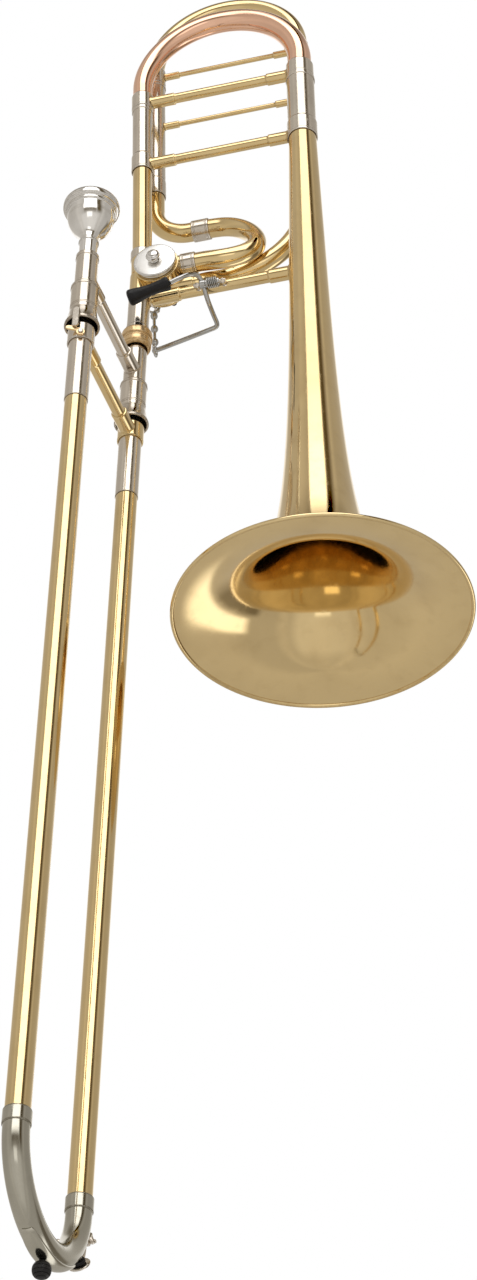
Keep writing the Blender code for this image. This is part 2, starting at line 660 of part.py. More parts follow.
def build_valve():
    """Rotary valve: casing with four stubs, rotor with two channels, plates and crank."""
    casing = store("valve_casing", turned(rod_profile(CASING_R, -CASING_FRONT, CASING_BACK, 0.0006), VALVE, 24),
                   "yellow_brass")
    stub_top = neck_frame(0.0, 0.0, VALVE_Z + 0.0242)
    stub_low = SLIDE @ Vector((0.0, 0.0, -RECEIVER_TOP + SEAT_GAP))
    port_end = neck_frame(PORT_END_X, 0.0, PORT_Z)
    low_end = neck_frame(0.0380, LOW_PORT_Y, LOW_PORT_Z)
    right_middle = neck_frame(VALVE_X + 0.0100, 0.0, PORT_Z)
    low_middle = neck_frame(VALVE_X + 0.0080, LOW_PORT_Y, LOW_PORT_Z)
    right_inside = neck_frame(VALVE_X + 0.0083, 0.0, PORT_Z)
    low_inside = neck_frame(VALVE_X + 0.0059, LOW_PORT_Y, LOW_PORT_Z)
    stubs = (
        ("stub_up", neck_frame(0.0, 0.0, VALVE_Z + 0.0012), stub_top, STUB_R),
        ("stub_down", SLIDE @ Vector((0.0, 0.0, VALVE_Z - SLIDE_PIVOT_Z - 0.0014)), stub_low, STUB_R),
        ("stub_port", right_middle, port_end, LOOP_R),
        ("stub_low", low_middle, low_end, LOOP_R + 0.0010),
    )
    for name, start, stop, outer_r in stubs:
        combine(casing, stub(f"{name}_tool", start, stop, outer_r), "UNION")
    bore = NECK_R - WALL
    drills = (
        ("drill_up", neck_frame(0.0, 0.0, VALVE_Z + 0.0030), neck_frame(0.0, 0.0, VALVE_Z + 0.0360), bore),
        ("drill_seat", neck_frame(0.0, 0.0, VALVE_Z + 0.0144), neck_frame(0.0, 0.0, VALVE_Z + 0.0360),
         NECK_R + SEAT_GAP),
        ("drill_down", SLIDE @ Vector((0.0, 0.0, VALVE_Z - SLIDE_PIVOT_Z - 0.0034)),
         SLIDE @ Vector((0.0, 0.0, -RECEIVER_TOP - 0.0100)), bore),
        ("drill_port", right_inside, neck_frame(0.0500, 0.0, PORT_Z), bore),
        ("drill_low", low_inside, neck_frame(0.0500, LOW_PORT_Y, LOW_PORT_Z), bore),
        ("drill_low_seat", neck_frame(0.0332, LOW_PORT_Y, LOW_PORT_Z),
         neck_frame(0.0500, LOW_PORT_Y, LOW_PORT_Z), LOOP_R + SEAT_GAP),
    )
    for name, start, stop, radius in drills:
        combine(casing, stub(f"{name}_tool", start, stop, radius), "DIFFERENCE", "MANIFOLD")
    bore_r = (ROTOR_R + RUN_GAP) / math.cos(math.pi / 24)
    combine(casing, cylinder_tool("rotor_bore_tool", bore_r, VALVE, -0.03, 0.03, 24), "DIFFERENCE", "MANIFOLD")

    axis_point = neck_frame(VALVE_X, 0.0, VALVE_Z)
    front_end = CASING_FRONT - 0.0006
    back_end = CASING_BACK - 0.0006
    shaft_end = CRANK_Y + 0.0030
    rotor_profile = [
        (0.0, -front_end - 0.0020),
        (SHAFT_R, -front_end - 0.0020),
        (SHAFT_R, -front_end),
        (ROTOR_R, -front_end),
        (ROTOR_R, back_end),
        (SHAFT_R, back_end),
        (SHAFT_R, shaft_end),
        (0.0, shaft_end),
    ]
    rotor = store("rotor", turned(rotor_profile, VALVE, 24), "yellow_brass", origin=axis_point)
    channel = neck_frame(0.0020, 0.0, VALVE_Z)
    upright = Matrix.Translation(channel)
    combine(rotor, cylinder_tool("rotor_channel_left_tool", bore, upright, -0.03, 0.03, 14), "DIFFERENCE")
    tilt = Matrix.Translation(neck_frame(VALVE_X * 2.0 - 0.0020, 0.0038, VALVE_Z))
    tilt = tilt @ Matrix.Rotation(math.radians(20.0), 4, "X")
    combine(rotor, cylinder_tool("rotor_channel_right_tool", bore, tilt, -0.03, 0.03, 14), "DIFFERENCE")

    front = CASING_FRONT + SEAT_GAP
    plate_profile = [
        (0.0, -front - 0.0050),
        (PLATE_R - 0.0005, -front - 0.0050),
        (PLATE_R, -front - 0.0045),
        (PLATE_R, -front - 0.0031),
        (PLATE_R - 0.0004, -front - 0.0027),
        (CASING_R - 0.0030, -front - 0.0024),
        (CASING_R - 0.0020, -front),
        (SHAFT_R + 0.0010, -front),
        (SHAFT_R + 0.0010, -front - 0.0018),
        (0.0, -front - 0.0018),
    ]
    store("valve_front_plate", turned(plate_profile, VALVE, 24), "silver")
    face = front + 0.0050 + SEAT_GAP
    button_profile = [
        (0.0, -face - 0.0066),
        (0.0026, -face - 0.0063),
        (0.0046, -face - 0.0052),
        (0.0054, -face - 0.0038),
        (0.0054, -face - 0.0028),
        (0.0048, -face - 0.0022),
        (0.0040, -face - 0.0020),
        (0.0040, -face),
        (0.0, -face),
    ]
    store("valve_button", turned(button_profile, VALVE, 14), "silver")
    back = CASING_BACK + SEAT_GAP
    back_profile = [
        (SHAFT_R + SHAFT_GAP, back),
        (CASING_R - 0.0006, back),
        (CASING_R, back + 0.0006),
        (CASING_R, back + 0.0014),
        (CASING_R - 0.0006, back + 0.0020),
        (SHAFT_R + SHAFT_GAP, back + 0.0020),
    ]
    store("valve_back_plate", turned(back_profile, VALVE, 24), "yellow_brass")
    build_crank(axis_point, back + 0.0020)


def crank_point(angle, radius, depth):
    """Point at an angle around the rotor's axis, seen from the thumb side."""
    return neck_frame(
        VALVE_X + radius * math.cos(angle),
        depth,
        VALVE_Z + radius * math.sin(angle),
    )


def build_crank(axis_point, plate_back):
    """Crank on the rotor's shaft, its knob for the link and the two cork stops."""
    low = plate_back + 0.0005
    hub = store("rotor_crank", turned(rod_profile(0.0052, low, CRANK_Y + 0.0034, 0.0004), VALVE, 20),
                "nickel", origin=axis_point)
    arm_y = low + 0.0022
    knob = crank_point(CRANK_REST, CRANK_R, arm_y)
    arm_start = crank_point(CRANK_REST, 0.0020, arm_y)
    combine(hub, cut_tool("crank_arm_tool", swept([arm_start, knob], [0.0021, 0.0021], None, 12)), "UNION")
    tail_start = crank_point(CRANK_REST + math.pi, 0.0020, arm_y)
    tail = crank_point(CRANK_REST + math.pi, 0.0090, arm_y)
    combine(hub, cut_tool("crank_tail_tool", swept([tail_start, tail], [0.0019, 0.0019], None, 12)), "UNION")
    pin_base = crank_point(CRANK_REST, CRANK_R, low)
    pin_profile = [
        (0.0, 0.0),
        (0.0027, 0.0),
        (0.0027, 0.0026),
        (0.0013, 0.0026),
        (0.0013, 0.0083),
        (0.0024, 0.0083),
        (0.0024, 0.0098),
        (0.0, 0.0098),
    ]
    pin_matrix = Matrix.Translation(pin_base) @ ALONG_Y
    combine(hub, cut_tool("crank_pin_tool", turned(pin_profile, pin_matrix, 12)), "UNION")
    combine(hub, cylinder_tool("crank_shaft_tool", SHAFT_R + SEAT_GAP, VALVE, -0.01, 0.06), "DIFFERENCE")
    tail_angle = CRANK_REST + math.pi
    for index, turn in enumerate((tail_angle + STOP_MARGIN, tail_angle - CRANK_SWING - STOP_MARGIN)):
        base = crank_point(turn, 0.0112, plate_back + SEAT_GAP)
        matrix = Matrix.Translation(base) @ ALONG_Y
        store(f"stop_cork_{index + 1}", turned(rod_profile(0.0020, 0.0, 0.0040, 0.0003), matrix, 12), "cork")


def build_receiver_and_nut():
    """Receiver for the hand slide and the ring nut that locks it."""
    receiver_profile = [
        (STUB_R, -RECEIVER_TOP),
        (STUB_R, -NUT_TOP),
        (STUB_R + 0.0006, -NUT_TOP - 0.0006),
        (STUB_R + 0.0006, -NUT_TOP - 0.0120),
        (INNER_TUBE_R + 0.0004, -NUT_TOP - 0.0120),
        (INNER_TUBE_R + 0.0004, -RECEIVER_TOP),
    ]
    store("slide_receiver", turned(receiver_profile, SLIDE), "nickel")
    outer_r = 0.0113
    nut_profile = [
        (outer_r - 0.0012, -NUT_TOP - 0.0012),
        (outer_r - 0.0004, -NUT_TOP - 0.0016),
        (outer_r, -NUT_TOP - 0.0024),
        (outer_r, -NUT_TOP - 0.0080),
        (outer_r - 0.0006, -NUT_TOP - 0.0088),
        (outer_r - 0.0016, -NUT_TOP - 0.0092),
        (outer_r - 0.0016, -NUT_TOP - 0.0110),
        (outer_r - 0.0009, -NUT_TOP - 0.0118),
        (outer_r - 0.0009, -NUT_BOTTOM + 0.0030),
        (outer_r - 0.0018, -NUT_BOTTOM + 0.0008),
        (outer_r - 0.0026, -NUT_BOTTOM),
        (INNER_TUBE_R + 0.0012, -NUT_BOTTOM),
        (INNER_TUBE_R + 0.0012, -NUT_TOP - 0.0128),
        (STUB_R + 0.0010, -NUT_TOP - 0.0128),
        (STUB_R + 0.0010, -NUT_TOP - 0.0012),
    ]
    origin = SLIDE @ Vector((0.0, 0.0, -NUT_TOP))
    store("lock_nut", turned(nut_profile, SLIDE, 20), "nut_brass", origin=origin)


def barrel_profile():
    """Closed outline of one cork barrel, open and flared at its lower end."""
    low = -BARREL_BOTTOM
    return [
        (BARREL_R - 0.0010, -BARREL_TOP),
        (BARREL_R, -BARREL_TOP - 0.0010),
        (BARREL_R, low + 0.0125),
        (BARREL_R + 0.0003, low + 0.0090),
        (BARREL_R + 0.0014, low + 0.0050),
        (BARREL_MOUTH_R, low + 0.0018),
        (BARREL_MOUTH_R, low + 0.0005),
        (BARREL_MOUTH_R - 0.0006, low),
        (BARREL_MOUTH_R - 0.0016, low + 0.0004),
        (BARREL_R, low + 0.0060),
        (BARREL_R - 0.0007, low + 0.0100),
        (BARREL_R - 0.0007, -BARREL_TOP - 0.0030),
        (INNER_TUBE_R + SEAT_GAP, -BARREL_TOP - 0.0030),
        (INNER_TUBE_R + SEAT_GAP, -BARREL_TOP),
    ]


def tube_profile(outer_r, inner_r, top, bottom):
    """Closed outline of a plain tube given by distances down the slide."""
    return [
        (outer_r, -top),
        (outer_r, -bottom),
        (inner_r, -bottom),
        (inner_r, -top),
    ]


def build_inner_slide():
    """Fixed half of the hand slide, its cork barrels and the mouthpiece receiver."""
    tube_in = INNER_TUBE_R - 0.0004
    store("inner_tube_neck", turned(tube_profile(INNER_TUBE_R, tube_in, RECEIVER_TOP + 0.0050, INNER_TUBE_END), SLIDE),
          "nickel")
    store("inner_tube_mouth", turned(tube_profile(INNER_TUBE_R, tube_in, BARREL_TOP - 0.0100, INNER_TUBE_END),
                                     OTHER_LEG), "nickel")
    store("barrel_neck", turned(barrel_profile(), SLIDE, 18), "nickel")
    store("barrel_mouth", turned(barrel_profile(), OTHER_LEG, 18), "nickel")
    sleeve_in = INNER_TUBE_R + SEAT_GAP
    store("brace_sleeve_neck", turned([
        (STUB_R - 0.0008, -SOCKET_TOP),
        (STUB_R, -SOCKET_TOP - 0.0008),
        (STUB_R, -BARREL_TOP + SEAT_GAP),
        (sleeve_in, -BARREL_TOP + SEAT_GAP),
        (sleeve_in, -SOCKET_TOP),
    ], SLIDE), "nickel")
    receiver_r = 0.0082
    shank = 0.0067
    store("mouthpiece_receiver", turned([
        (receiver_r - 0.0012, -MOUTH_RECEIVER_TOP),
        (receiver_r - 0.0002, -MOUTH_RECEIVER_TOP - 0.0006),
        (receiver_r, -MOUTH_RECEIVER_TOP - 0.0016),
        (receiver_r, -BARREL_TOP + SEAT_GAP),
        (sleeve_in, -BARREL_TOP + SEAT_GAP),
        (sleeve_in, -BARREL_TOP + 0.0104),
        (INNER_TUBE_R - 0.0012, -BARREL_TOP + 0.0108),
        (shank, -MOUTH_RECEIVER_TOP),
    ], OTHER_LEG), "nickel")
    start = SLIDE @ Vector((0.0, 0.0, -INNER_BRACE_S))
    stop = OTHER_LEG @ Vector((0.0, 0.0, -INNER_BRACE_S))
    brace(
        "inner_brace",
        start,
        stop,
        SLIDE_BRACE_R,
        SLIDE_SOCKET_R,
        0.0240,
        "nickel",
        ((SLIDE @ Matrix.Translation((0.0, 0.0, -INNER_BRACE_S)), STUB_R),
         (OTHER_LEG @ Matrix.Translation((0.0, 0.0, -INNER_BRACE_S)), receiver_r)),
        20,
    )
    build_lock_tab()


def block(name, size, matrix, finish_name, bevel, origin=None, cutter=False):
    """Box with rounded edges."""
    build = bmesh.new()
    bmesh.ops.create_cube(build, size=1.0)
    bmesh.ops.scale(build, vec=Vector(size), verts=build.verts)
    if bevel > 0.0:
        bmesh.ops.bevel(build, geom=build.edges[:], offset=bevel, segments=2, profile=0.5, affect="EDGES")
    bmesh.ops.transform(build, matrix=matrix, verts=build.verts)
    return store(name, build, finish_name, origin=origin, cutter=cutter)


def latch_frame(depth, facing=-86.0):
    """Frame on the thumb-side of the mouthpiece leg, at a distance down the slide."""
    turn = Matrix.Rotation(math.radians(facing), 4, "Z")
    return OTHER_LEG @ Matrix.Translation((0.0, 0.0, -depth)) @ turn


def build_lock_tab():
    """Tab on the upper barrel that the slide latch turns under."""
    frame = latch_frame(0.0)
    tab = block("lock_tab", (0.0014, 0.0048, 0.0180),
                frame @ Matrix.Translation((BARREL_MOUTH_R + SEAT_GAP + 0.0007, 0.0, -BARREL_BOTTOM - 0.0018)),
                "nickel", 0.0004)
    foot = block("lock_tab_foot_tool", (0.0020, 0.0040, 0.0022),
                 frame @ Matrix.Translation((BARREL_R + 0.0029, 0.0, -BARREL_BOTTOM + 0.0056)),
                 None, 0.0, cutter=True)
    combine(tab, foot, "UNION")


def build_outer_slide():
    """Moving half of the hand slide down to its bow."""
    for side, matrix in (("neck", SLIDE), ("mouth", OTHER_LEG)):
        store(f"stocking_{side}", turned([
            (STOCKING_R - 0.0005, -STOCKING_TOP),
            (STOCKING_R, -STOCKING_TOP - 0.0005),
            (STOCKING_R, -STOCKING_BOTTOM),
            (OUTER_BORE_R, -STOCKING_BOTTOM),
            (OUTER_BORE_R, -STOCKING_TOP),
        ], matrix), "nickel")
        store(f"outer_tube_{side}", turned(
            tube_profile(OUTER_TUBE_R, OUTER_BORE_R, STOCKING_BOTTOM + SEAT_GAP, BOW_FERRULE_BOTTOM - 0.0012),
            matrix), "yellow_brass")
    build_outer_brace()
    build_slide_bow()
    build_bow_guard()


def build_outer_brace():
    """Hand brace of the outer slide with a collar around each stocking."""
    inset = 0.0013
    start = SLIDE @ Vector((0.0, -inset, -OUTER_BRACE_S))
    stop = OTHER_LEG @ Vector((0.0, inset, -OUTER_BRACE_S))
    bore = STOCKING_R + SEAT_GAP
    matrix, length = between(start, stop)
    socket = 0.0235
    step = 0.0004
    profile = [
        (0.0, 0.0),
        (SLIDE_SOCKET_R, 0.0),
        (SLIDE_SOCKET_R, socket - step),
        (SLIDE_SOCKET_R - step, socket),
        (SLIDE_BRACE_R, socket),
        (SLIDE_BRACE_R, length - socket),
        (SLIDE_SOCKET_R - step, length - socket),
        (SLIDE_SOCKET_R, length - socket + step),
        (SLIDE_SOCKET_R, length),
        (0.0, length),
    ]
    item = store("outer_brace", turned(profile, matrix, 20), "yellow_brass")
    for side, axis in (("neck", SLIDE), ("mouth", OTHER_LEG)):
        collar = turned([
            (0.0, -OUTER_BRACE_S - 0.0072),
            (bore + 0.0006, -OUTER_BRACE_S - 0.0072),
            (bore + 0.0010, -OUTER_BRACE_S - 0.0068),
            (bore + 0.0010, -OUTER_BRACE_S + 0.0068),
            (bore + 0.0006, -OUTER_BRACE_S + 0.0072),
            (0.0, -OUTER_BRACE_S + 0.0072),
        ], axis)
        combine(item, cut_tool(f"outer_brace_collar_tool_{side}", collar), "UNION")
    for side, axis in (("neck", SLIDE), ("mouth", OTHER_LEG)):
        tool = cylinder_tool(f"outer_brace_bore_tool_{side}", bore, axis, -OUTER_BRACE_S - 0.03, -OUTER_BRACE_S + 0.03)
        combine(item, tool, "DIFFERENCE", "MANIFOLD")


def bow_point(angle, radius, offset=0.0):
    """Point near the slide bow; angle 0 is the neck-side leg.

    The bow's centre line is half of an ellipse. The radius counts from the middle between
    the legs, so the part of it past the centre line is measured square to the bow.
    """
    half = SLIDE_SPACING / 2.0
    across = math.cos(angle) / half
    down = math.sin(angle) / SLIDE_BOW_DEPTH
    past = (radius - half) / math.hypot(across, down)
    return SLIDE @ Vector((
        offset,
        -half + half * math.cos(angle) + past * across,
        -SLIDE_BOW_S - SLIDE_BOW_DEPTH * math.sin(angle) - past * down,
    ))


def build_slide_bow():
    """Bow at the slide's end with a ferrule on each leg."""
    half = SLIDE_SPACING / 2.0
    seat_r = OUTER_TUBE_R + SEAT_GAP
    bore = SLIDE_BOW_R - 0.0007
    stations = [
        (BOW_FERRULE_TOP, SLIDE_FERRULE_R - 0.0003, seat_r),
        (BOW_FERRULE_TOP + 0.0004, SLIDE_FERRULE_R, seat_r),
        (BOW_FERRULE_BOTTOM - 0.0009, SLIDE_FERRULE_R, seat_r),
        (BOW_FERRULE_BOTTOM - 0.0006, SLIDE_FERRULE_R, bore),
        (BOW_FERRULE_BOTTOM - 0.0002, SLIDE_FERRULE_R, bore),
        (BOW_FERRULE_BOTTOM, SLIDE_BOW_R, bore),
    ]
    points = [SLIDE @ Vector((0.0, 0.0, -s)) for s, _, _ in stations]
    outer = [o for _, o, _ in stations]
    inner = [i for _, _, i in stations]
    steps = 12
    for index in range(steps + 1):
        points.append(bow_point(math.pi * index / steps, half))
        outer.append(SLIDE_BOW_R)
        inner.append(bore)
    for s, o, i in reversed(stations):
        points.append(OTHER_LEG @ Vector((0.0, 0.0, -s)))
        outer.append(o)
        inner.append(i)
    store("slide_bow", swept(points, outer, inner, 12), "nickel")


def build_bow_guard():
    """Guard plate that wraps the outside of the bow, and the rubber rest under it."""
    half = SLIDE_SPACING / 2.0
    inner_r = SLIDE_BOW_R + SEAT_GAP
    outer_r = inner_r + 0.0008
    start = math.radians(43.0)
    stop = math.radians(115.0)
    steps = 10
    width_steps = 6
    build = bmesh.new()
    rows = []
    for index in range(steps + 1):
        share = index / steps
        angle = start + (stop - start) * share
        spread = math.radians(21.0 + 26.0 * math.sin(math.pi * min(max(share, 0.0), 1.0)) ** 0.45)
        radial, side = bow_directions(angle)
        centre = bow_point(angle, half)
        row = []
        for radius, order in ((outer_r, 1), (inner_r, -1)):
            for step in range(width_steps + 1):
                turn = order * (-spread + 2.0 * spread * step / width_steps)
                row.append(build.verts.new(centre + (radial * math.cos(turn) + side * math.sin(turn)) * radius))
        rows.append(row)
    for first, second in zip(rows, rows[1:]):
        ring_faces(build, first, second)
    for row in (rows[0], rows[-1]):
        for step in range(width_steps):
            build.faces.new((row[step], row[step + 1], row[-2 - step], row[-1 - step]))
    store("bow_guard", build, "nickel", sharp=50.0)
    rest_angle = math.radians(89.0)
    base = bow_point(rest_angle, half + outer_r + SEAT_GAP)
    down = (bow_point(rest_angle, half + 0.03) - bow_point(rest_angle, half)).normalized()
    matrix, _ = between(base, base + down)
    rest = [
        (0.0, 0.0),
        (0.0022, 0.0),
        (0.0022, 0.0008),
        (0.0042, 0.0016),
        (0.0054, 0.0036),
        (0.0057, 0.0058),
        (0.0053, 0.0082),
        (0.0040, 0.0100),
        (0.0020, 0.0109),
        (0.0, 0.0111),
    ]
    store("rest_bumper", turned(rest, matrix, 14), "rubber")


def build_mouthpiece():
    """Cup mouthpiece with an open cup, throat and shank."""
    rim = -MOUTHPIECE_RIM
    outer = [
        (0.0130, rim - 0.0010),
        (0.0160, rim),
        (0.0184, rim - 0.0004),
        (0.0199, rim - 0.0018),
        (0.0203, rim - 0.0042),
        (0.0199, rim - 0.0064),
        (0.0188, rim - 0.0072),
        (0.0177, rim - 0.0076),
        (0.0180, rim - 0.0096),
        (0.0176, rim - 0.0104),
        (0.0166, rim - 0.0108),
        (0.0163, rim - 0.0150),
        (0.0150, rim - 0.0200),
        (0.0124, rim - 0.0252),
        (0.0094, rim - 0.0304),
        (0.0074, rim - 0.0345),
        (0.0065, rim - 0.0386),
        (0.0073, rim - 0.0400),
        (0.0065, rim - 0.0414),
        (0.0063, rim - 0.0540),
        (0.0057, rim - 0.0700),
    ]
    inner = [
        (0.0049, rim - 0.0700),
        (0.0036, rim - 0.0480),
        (0.0034, rim - 0.0360),
        (0.0042, rim - 0.0320),
        (0.0066, rim - 0.0270),
        (0.0096, rim - 0.0205),
        (0.0116, rim - 0.0130),
        (0.0125, rim - 0.0060),
    ]
    origin = OTHER_LEG @ Vector((0.0, 0.0, rim))
    store("mouthpiece", turned(outer + inner, OTHER_LEG, 16), "silver", origin=origin, sharp=32.0)


def build_latch():
    """Slide latch: a small lever that turns on a screw in the outer slide."""
    frame = latch_frame(LATCH_S, LATCH_FACING)
    face = STOCKING_R + SEAT_GAP * 2.0 + 0.0010
    pivot = frame @ Vector((face, 0.0, 0.0))
    outward = frame @ ALONG_X
    lever = store("slide_latch", turned(rod_profile(0.0030, face, face + 0.0018, 0.0002), outward, 16),
                  "nut_brass", origin=pivot)
    arm = block("slide_latch_arm_tool", (0.0016, 0.0115, 0.0034),
                frame @ Matrix.Translation((face + 0.0009, -0.0050, 0.0014)) @ Matrix.Rotation(-0.24, 4, "X"),
                None, 0.0004, cutter=True)
    combine(lever, arm, "UNION")
    combine(lever, cylinder_tool("slide_latch_hole_tool", 0.0010 + SHAFT_GAP, outward, face - 0.01, face + 0.01, 12),
            "DIFFERENCE")
    screw = turned([
        (0.0, face - 0.0008),
        (0.0010, face - 0.0008),
        (0.0010, face + 0.0018 + SHAFT_GAP * 2.0),
        (0.0019, face + 0.0018 + SHAFT_GAP * 2.0),
        (0.0019, face + 0.0026),
        (0.0014, face + 0.0031),
        (0.0, face + 0.0031),
    ], outward, 12)
    combine(bpy.data.objects["outer_brace"], cut_tool("latch_screw_tool", screw), "UNION", "MANIFOLD")


def bow_directions(angle):
    """Outward and sideways directions of the slide bow at an angle."""
    half = SLIDE_SPACING / 2.0
    centre = bow_point(angle, half)
    outward = (bow_point(angle, half + 0.01) - centre).normalized()
    side = (bow_point(angle, half, 0.01) - centre).normalized()
    return outward, side


def around_bow(angle, turn, distance):
    """Point beside the slide bow, turned around its centre line."""
    outward, side = bow_directions(angle)
    centre = bow_point(angle, SLIDE_SPACING / 2.0)
    return centre + (outward * math.cos(turn) + side * math.sin(turn)) * distance


def build_water_key():
    """Water key: nipple, pivot post, lever with a cork cup and a finger hook."""
    angle = math.radians(29.0)
    radial, side = bow_directions(angle)
    surface = around_bow(angle, 0.0, SLIDE_BOW_R)
    nipple, _ = between(surface - radial * 0.0003, surface + radial)
    post_angle = math.radians(12.0)
    post_radial, _ = bow_directions(post_angle)
    post_base = around_bow(post_angle, 0.0, SLIDE_BOW_R + SEAT_GAP)
    pivot = post_base + post_radial * 0.0044
    pivot_matrix, _ = between(pivot, pivot + side)
    post = store("key_post", turned(rod_profile(0.0012, -0.0072, 0.0072, 0.0002), pivot_matrix, 12), "nickel")
    for index, shift in enumerate((-0.0050, 0.0050)):
        foot = post_base + side * shift
        matrix, _ = between(foot, foot + post_radial)
        tool = cut_tool(f"key_post_leg_tool_{index}", turned(rod_profile(0.0015, 0.0002, 0.0060, 0.0002), matrix, 10))
        combine(post, tool, "UNION")
    bridge_low = post_base + side * -0.0046 + post_radial * 0.0009
    bridge_high = post_base + side * 0.0046 + post_radial * 0.0009
    combine(post, cut_tool("key_post_bridge_tool", swept([bridge_low, bridge_high], [0.0009, 0.0009], None, 8)),
            "UNION")
    centre = bow_point(post_angle, SLIDE_SPACING / 2.0)
    trim = cylinder_tool("key_post_trim_tool", SLIDE_BOW_R + SEAT_GAP * 0.8,
                         between(centre, centre + post_radial.cross(side))[0], -0.02, 0.02)
    combine(post, trim, "DIFFERENCE")

    bow = bpy.data.objects["slide_bow"]
    combine(bow, cut_tool("key_nipple_tool", turned([
        (0.0, -0.0001),
        (0.0030, -0.0001),
        (0.0030, 0.0018),
        (0.0024, 0.0026),
        (0.0, 0.0026),
    ], nipple, 14)), "UNION")
    combine(bow, cylinder_tool("key_nipple_hole_tool", 0.0016, nipple, -0.0030, 0.0040, 14), "DIFFERENCE")

    cork_low = surface + radial * (0.0026 - 0.0003 + SEAT_GAP)
    cork_matrix, _ = between(cork_low, cork_low + radial)
    store("key_cork", turned(rod_profile(0.0036, 0.0, 0.0022, 0.0003), cork_matrix, 14), "rubber", origin=pivot)
    cup_low = cork_low + radial * (0.0022 + SEAT_GAP)
    cup_matrix, _ = between(cup_low, cup_low + radial)
    key = store("water_key", turned([
        (0.0, 0.0),
        (0.0042, 0.0),
        (0.0046, 0.0004),
        (0.0044, 0.0012),
        (0.0030, 0.0018),
        (0.0, 0.0020),
    ], cup_matrix, 16), "nickel", origin=pivot)
    hub = turned(rod_profile(0.0024, -0.0032, 0.0032, 0.0003), pivot_matrix, 14)
    combine(key, cut_tool("water_key_hub_tool", hub), "UNION")
    arm_start = cup_low + radial * 0.0017
    arm_end = pivot + post_radial * 0.0010
    arm_middle = (arm_start + arm_end) / 2.0 + (radial + post_radial).normalized() * 0.0014
    arm_path = smooth_path([arm_start, arm_middle, arm_end], 3)
    combine(key, cut_tool("water_key_arm_tool", swept(arm_path, [0.0013] * len(arm_path), None, 10)), "UNION")
    hook_angle = math.radians(20.5)
    hook_path = smooth_path([
        arm_middle - post_radial * 0.0001,
        around_bow(hook_angle, math.radians(-32.0), 0.0132),
        around_bow(hook_angle, math.radians(-62.0), 0.0122),
        around_bow(hook_angle, math.radians(-88.0), 0.0116),
    ], 2)
    hook_radii = [0.0011] * (len(hook_path) - 2) + [0.0013, 0.0016]
    combine(key, cut_tool("water_key_hook_tool", swept(hook_path, hook_radii, None, 9)), "UNION")
    hole = cylinder_tool("water_key_hole_tool", 0.0012 + SHAFT_GAP, pivot_matrix, -0.01, 0.01, 14)
    combine(key, hole, "DIFFERENCE")


